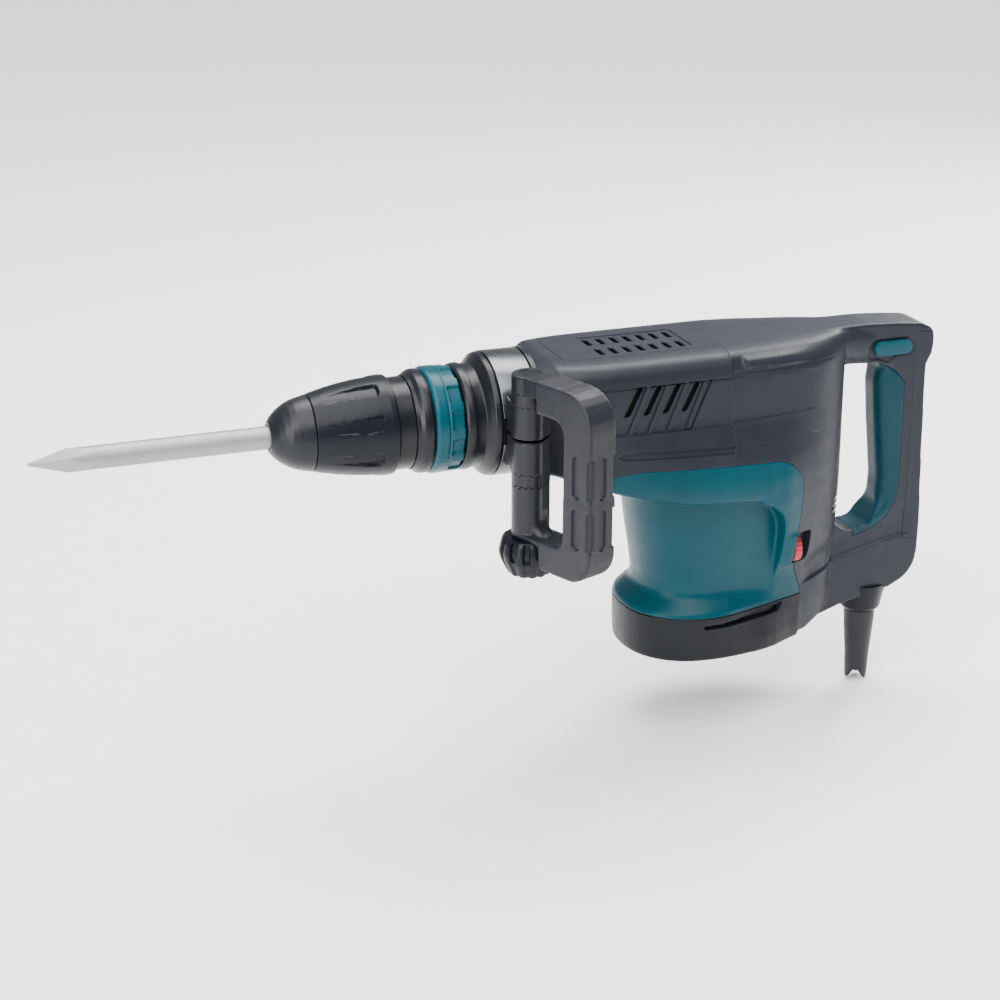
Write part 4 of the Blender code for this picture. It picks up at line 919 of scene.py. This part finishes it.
# ---- side handle ---------------------------------------------------------------
COLUMN_R = 14.2
RATCHET_TEETH = 16         # one tooth for each 22.5 degrees, so they mesh at both of the loop's stops
TOOTH = 1.15               # half the height of a ratchet tooth
GRIP_OUT = 64.7            # from the bolt to the middle of the grip
LOOP_FACING = LOOP_TURN - math.pi / 2
LOBES, LOBE_TURN = 12, math.radians(-86)


def round_outline(radius):
    return np.array([(radius * math.cos(a), radius * math.sin(a)) for a in np.radians(np.arange(0, 360, 5))])


def column_outline():
    """Plan of the clamp column: round in front, a chamfered corner at its rear side."""
    arc = [(COLUMN_R * math.cos(a), COLUMN_R * math.sin(a)) for a in np.radians(np.arange(-75, -285, -5))]
    flat = rounded(((3.9, 13.6, 0), (11.0, 13.6, 3), (16.4, 9.0, 3), (16.4, -1.6, 2.0), (4.2, -14.0, 0.6)), 5)
    return np.vstack([arc, flat[:-1]])


def column_form(outline, low, high, rings=8):
    """Upright column with this plan, in the bolt's own frame."""
    heights = np.linspace(low, high, rings)
    return skinned([np.column_stack([outline, np.full(len(outline), z)]) for z in heights])


def ring_skin(low, high):
    """The column between two heights, in fine rings, as a skin."""
    form = column_form(split_long(column_outline(), 1.1), low, high, int((high - low) / 0.8))
    mesh = make_mesh("column", *form, 1, (0, 0, 0))
    face_outward(mesh)
    return skin_of(mesh, 1)


def zigzag(x, y):
    """Height of the ratchet teeth round the column, -1 to 1."""
    turn = np.arctan2(y, x) / (2 * math.pi) * RATCHET_TEETH
    return 4 * np.abs(turn - np.floor(turn + 0.5)) - 1


def clamp():
    turns = np.linspace(math.radians(-167.6), math.radians(167.6), 150)
    fore, aft = CLAMP_X - 14.4, CLAMP_X + 14.4
    profile = rounded(((fore, 48.2, 0.2), (aft, 48.2, 0.2), (aft, 49.6, 0.5), (fore, 49.6, 0.5)), 3)
    rings = [[(x, r * math.cos(t), r * math.sin(t)) for x, r in profile] for t in turns]
    solid_piece("clamp_strap", skinned(rings), BAND_STEEL, "side_clamp", ("clamp_band",))
    saddle = rounded(((-12.5, 0, 0), (16.0, 0, 0), (16.0, 14, 0), (12.5, 30, 3), (-12.5, 30, 3)), 4)
    for word, side in (("upper", 1), ("lower", -1)):
        low, high = sorted((side * 1.0, side * 30.0))
        forms = [column_form(column_outline(), low, high), column_form(saddle, low, high)]
        jaw = merged(f"jaw_{word}", forms, 0.8, 2)
        jaw.trim(lambda x, y, z: 49.9 - np.hypot(y + CLAMP_Y, z))
        jaw.trim(lambda x, y, z: side * z - 27.0 - TOOTH * zigzag(x, y))
        jaw.placed().piece(f"jaw_{word}", COLUMN_PLASTIC, "side_clamp", "black_plastic",
                           (f"clamp_{word}_jaw",), wall=HOLLOW_WALL)
        ring = ring_skin(*sorted((side * 25.0, side * 39.0)))
        ring.trim(lambda x, y, z: 27.35 + TOOTH * zigzag(x, y) - side * z)
        ring.trim(lambda x, y, z: side * z - 36.75 - TOOTH * zigzag(x, y))
        ring.placed().piece(f"ratchet_{word}", COLUMN_PLASTIC, "side_clamp", "black_plastic",
                            (f"ratchet_ring_{word}",), wall=HOLLOW_WALL)


def loop_handle():
    """Hubs, arms and grip as one form in the loop's own frame: x out, z up."""
    corners = ((0, 51, 0), (79, 50.5, 27), (79, -98, 23), (24, -98, 6), (22, -80.4, 3), (0, -80.4, 0),
               (0, -75.5, 0), (50.5, -75.5, 9), (50.5, 27, 12), (14, 27, 0), (14, 36, 0), (0, 36, 0))
    fillet = ((0, -52, 0), (12.5, -52, 0), (14.2, -76, 17), (44, -77, 0), (44, -88, 0), (0, -88, 0))
    c, s = math.cos(-LOOP_FACING), math.sin(-LOOP_FACING)
    plan = np.array([(c * x - s * y, s * x + c * y) for x, y in column_outline()])
    body = merged("loop_form", [prism([rounded(corners)], -13.2, 13.2, edge=10.5),
                                prism([rounded(fillet)], -8.5, 8.5, edge=7.0),
                                column_form(plan, -80.2, -33.0),
                                column_form(round_outline(14.4), 33.0, 51.0)], 0.9, 6)
    body.score(lambda x, y, z: np.where(z > 36, 90.0, x - 20))
    body.trim(lambda x, y, z: np.where((x < 22) & (z > 0), 37.25 + TOOTH * loop_zigzag(x, y) - z, -1.0))
    body.trim(lambda x, y, z: np.where((x < 22) & (z < 0), z + 37.45 + TOOTH * loop_zigzag(x, y), -1.0))
    body.recess(lambda x, y, z: np.maximum(np.hypot(x, y) - 9.2, 40 - z), 0.9, 0.5)

    def rubber(x, y, z):
        return np.where(z > 0, 19.5 - x, 24.0 - x)
    hub = body.copy().trim(lambda x, y, z: -rubber(x, y, z), -SEAM_GAP / 2)
    hub.placed(LOOP_FACING).piece("loop_hub", COLUMN_PLASTIC, "side_loop", "black_plastic",
                                  ("side_handle",), wall=HOLLOW_WALL)
    grip = body.trim(rubber, -SEAM_GAP / 2)
    grip.push(lambda x, y, z: -0.5 * ramp(-rubber(x, y, z), 0, 1.4))
    for low, high in ((-71.2, -38.0), (-30.7, 3.6)):
        for flute in grip_flutes(low, high):
            grip.recess(flute, 1.6, 0.8)
    grip.push(lambda x, y, z: np.where(x > 44, 0.3 * ramp(z, -36, -31) - 0.3, -0.3))
    grip.placed(LOOP_FACING).piece("loop_grip", RUBBER, "side_loop", "black_rubber", wall=HOLLOW_WALL)


def loop_zigzag(x, y):
    """The same teeth, seen from the loop's frame."""
    c, s = math.cos(LOOP_FACING), math.sin(LOOP_FACING)
    return zigzag(c * x - s * y, s * x + c * y)


def grip_flutes(low, high):
    """Long finger grooves round the outer side of the grip."""
    flutes = []
    for nx, ny, slip, half in ((0, -1, 0, 4.7), (0, 1, 0, 4.7), (1, 0, 0, 4.0),
                               (0.71, -0.71, 1.4, 3.6), (0.71, 0.71, 1.4, 3.6)):
        slot = box_field(-half, half, low, high, half - 0.2)

        def flute(x, y, z, nx=nx, ny=ny, slip=slip, slot=slot):
            du, dv = x - GRIP_OUT, y
            across = -ny * du + nx * dv - slip * np.sign(-ny)
            return np.maximum(slot(across, z), 5 - (nx * du + ny * dv))
        flutes.append(flute)
    return flutes


def knob():
    """Twelve lobes, widest below the middle, with deep slots between them higher up."""
    rows = rounded(((-80.6, 13.0, 0.4), (-80.6, 20.6, 1.5), (-84.0, 22.6, 4), (-92.0, 24.4, 8),
                    (-99.0, 22.6, 5), (-106.5, 18.9, 4), (-111.0, 16.2, 1.5), (-111.0, 2.0, 0),
                    (-109.6, 0.5, 0), (-84.0, 0.5, 0), (-84.0, 13.0, 0.5)), 4)

    def lobes(z, r, turn):
        off = off_nearest(turn, LOBES, LOBE_TURN)
        across = np.abs(off) * 23
        slot = np.clip((2.9 - across) / 0.8, 0, 1) * (1 - ramp(z, -82.5, -81.2))
        deep = 1.0 + 2.2 * ramp(z, -97.5, -96.5)
        crown = 0.35 * (1 - np.cos(off * LOBES))
        return z, np.where(r > 14, r - slot * deep - 0.7 + crown, r)
    form = lathe(split_long(rows, 0.9), FINE_STEPS, 'Z', (CLAMP_X, CLAMP_Y, 0), lobes)
    solid_piece("knob_grip", form, SLEEVE, "knob", ("clamp_knob",), crease=35)


# ---- controls and cord entry -----------------------------------------------
def lever():
    corners = [(526.1 + a * 17.4, 22.6 + b * 6.1, 5.8) for a, b in ((-1, -1), (1, -1), (1, 1), (-1, 1))]
    mesh = make_mesh("switch_slide", *prism([rounded(corners, 8)], -20.4, 17.4, edge=1.2, steps=3))
    show("switch_slide", mesh, TEAL_RING, "switch_slider", ("switch_lever",), crease=30)


def dial():
    rows = ((424.3, 9.8, 0.5), (425.4, 11.6, 0.8), (431.0, 11.6, 0.8), (432.1, 9.8, 0.5), (432.1, 3, 0.3),
            (424.3, 3, 0.3))

    def ribs(x, r, turn):
        wave = 0.5 + 0.5 * np.cos(18 * turn)
        return x, np.where(r > 8, r - 0.65 * (1 - wave), r)
    turned_piece("dial_wheel", rows, RED, "dial", ("speed_dial",), steps=216,
                 centre=(0, -45.5, DIAL_Z), shape=ribs, step=0.7, crease=35)


def cord_entry():
    gland = [(-190.9, 21.5, 0.3), (-203.0, 19.4, 3), (-213.6, 17.4, 2.5), (-216.4, 14.4, 1.0),
             (-216.4, 8.1, 0.3), (-190.9, 8.1, 0.3)]
    turned_piece("cord_collar", gland, SLEEVE, "tool_body", ("cord_gland",), axis='Z',
                 centre=(CORD_X, 0, 0))
    guard = [(-217.0, 13.6, 0.3), (-235.0, 12.5, 30), (-258.0, 10.6, 40), (-280.9, 9.7, 0.4),
             (-280.9, 7.9, 0.4), (-217.0, 8.1, 0.3)]

    def mouth(z, r, turn):
        """Three soft waves round the open end."""
        dip = 2.8 + 4.6 * np.cos(3 * (turn + math.radians(120)))
        share = ramp(-z, 264, 281)
        return z + dip * share, r
    turned_piece("bend_relief", guard, RUBBER, "tool_body", ("cord_guard",), axis='Z',
                 centre=(CORD_X, 0, 0), shape=mouth, step=1.2)


SCREW_R = 3.6
SCREW_HEIGHTS = (22.0, -62.0, -138.0)


def screw(height):
    """Pan head with a six-lobed recess, in the handle's back cover."""
    def star(h, r, turn):
        return h, np.where(r < 2.0, r * (1 + 0.16 * np.cos(6 * turn)), r)
    rows = [(-4.0, SCREW_R - 0.6, 0.2), (-0.8, SCREW_R, 0.5), (0.6, SCREW_R - 0.5, 0.7), (0.9, 1.7, 0.15),
            (-1.1, 1.5, 0.2), (-1.1, 0.2, 0), (-4.0, 0.2, 0)]
    turned_piece(f"back_screw_{int(abs(height))}", rows, STEEL, "tool_body", steps=48,
                 centre=(HANDLE_BACK_X, 0, height), shape=star, step=0.6)


# ---- camera, light and floor ------------------------------------------------
def facing(direction):
    """Rotation that points a camera's or lamp's view along direction."""
    return Vector(direction).to_track_quat('-Z', 'Y').to_euler()


def camera():
    data = bpy.data.cameras.new("camera")
    data.lens, data.sensor_width = 79.2, 36.0
    data.clip_end = 60
    eye = add_object("camera", data)
    azimuth, elevation = math.radians(-19.9), math.radians(20.7)
    eye.location = ORIGIN + Vector((-0.3751, -1.5516, 0.5484))
    eye.rotation_euler = facing((-math.sin(azimuth) * math.cos(elevation),
                                 math.cos(azimuth) * math.cos(elevation), -math.sin(elevation)))
    bpy.context.scene.camera = eye


def softbox(name, place, aim, size, power, colour=(1, 1, 1)):
    data = bpy.data.lights.new(name, 'AREA')
    data.shape = 'RECTANGLE'
    data.size, data.size_y = size
    data.energy, data.color = power, colour
    lamp = add_object(name, data)
    lamp.location = place
    lamp.rotation_euler = facing(Vector(aim) - Vector(place))


def studio():
    floor_mesh = bpy.data.meshes.new("floor")
    span, low = 30.0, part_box("cord_guard")[0].z - 0.004
    floor_mesh.from_pydata([(-span, -span, low), (span, -span, low), (span, span, low), (-span, span, low)],
                           [], [(0, 1, 2, 3)])
    floor = add_object("floor", floor_mesh)
    floor_mesh.materials.append(surface("pale_floor", (0.90, 0.90, 0.90), 0.65, grain=0.02, mottle=0.01))
    world = bpy.data.worlds.new("studio")
    world.use_nodes = True
    glow = world.node_tree.nodes["Background"].inputs
    glow["Color"].default_value = (0.95, 0.97, 1.0, 1)
    glow["Strength"].default_value = 0.48
    bpy.context.scene.world = world
    aim = (0, 0, 0.15)
    softbox("overhead", (0.2, 0.7, 2.2), aim, (2.2, 1.2), 105)
    softbox("left_strip", (-1.7, -1.0, 0.8), aim, (0.30, 1.5), 30)
    softbox("rear_rim", (1.6, 1.4, 1.2), aim, (0.5, 1.4), 30)
    sun_data = bpy.data.lights.new("window", 'SUN')
    sun_data.energy, sun_data.angle = 5.0, math.radians(60)
    sun = add_object("window", sun_data)
    sun.rotation_euler = facing((0.45, 0.75, -1.6))


camera()
housings()
chisel()
holder_rings()
clamp()
loop_handle()
knob()
lever()
dial()
cord_entry()
for level in SCREW_HEIGHTS:
    screw(level)
studio()
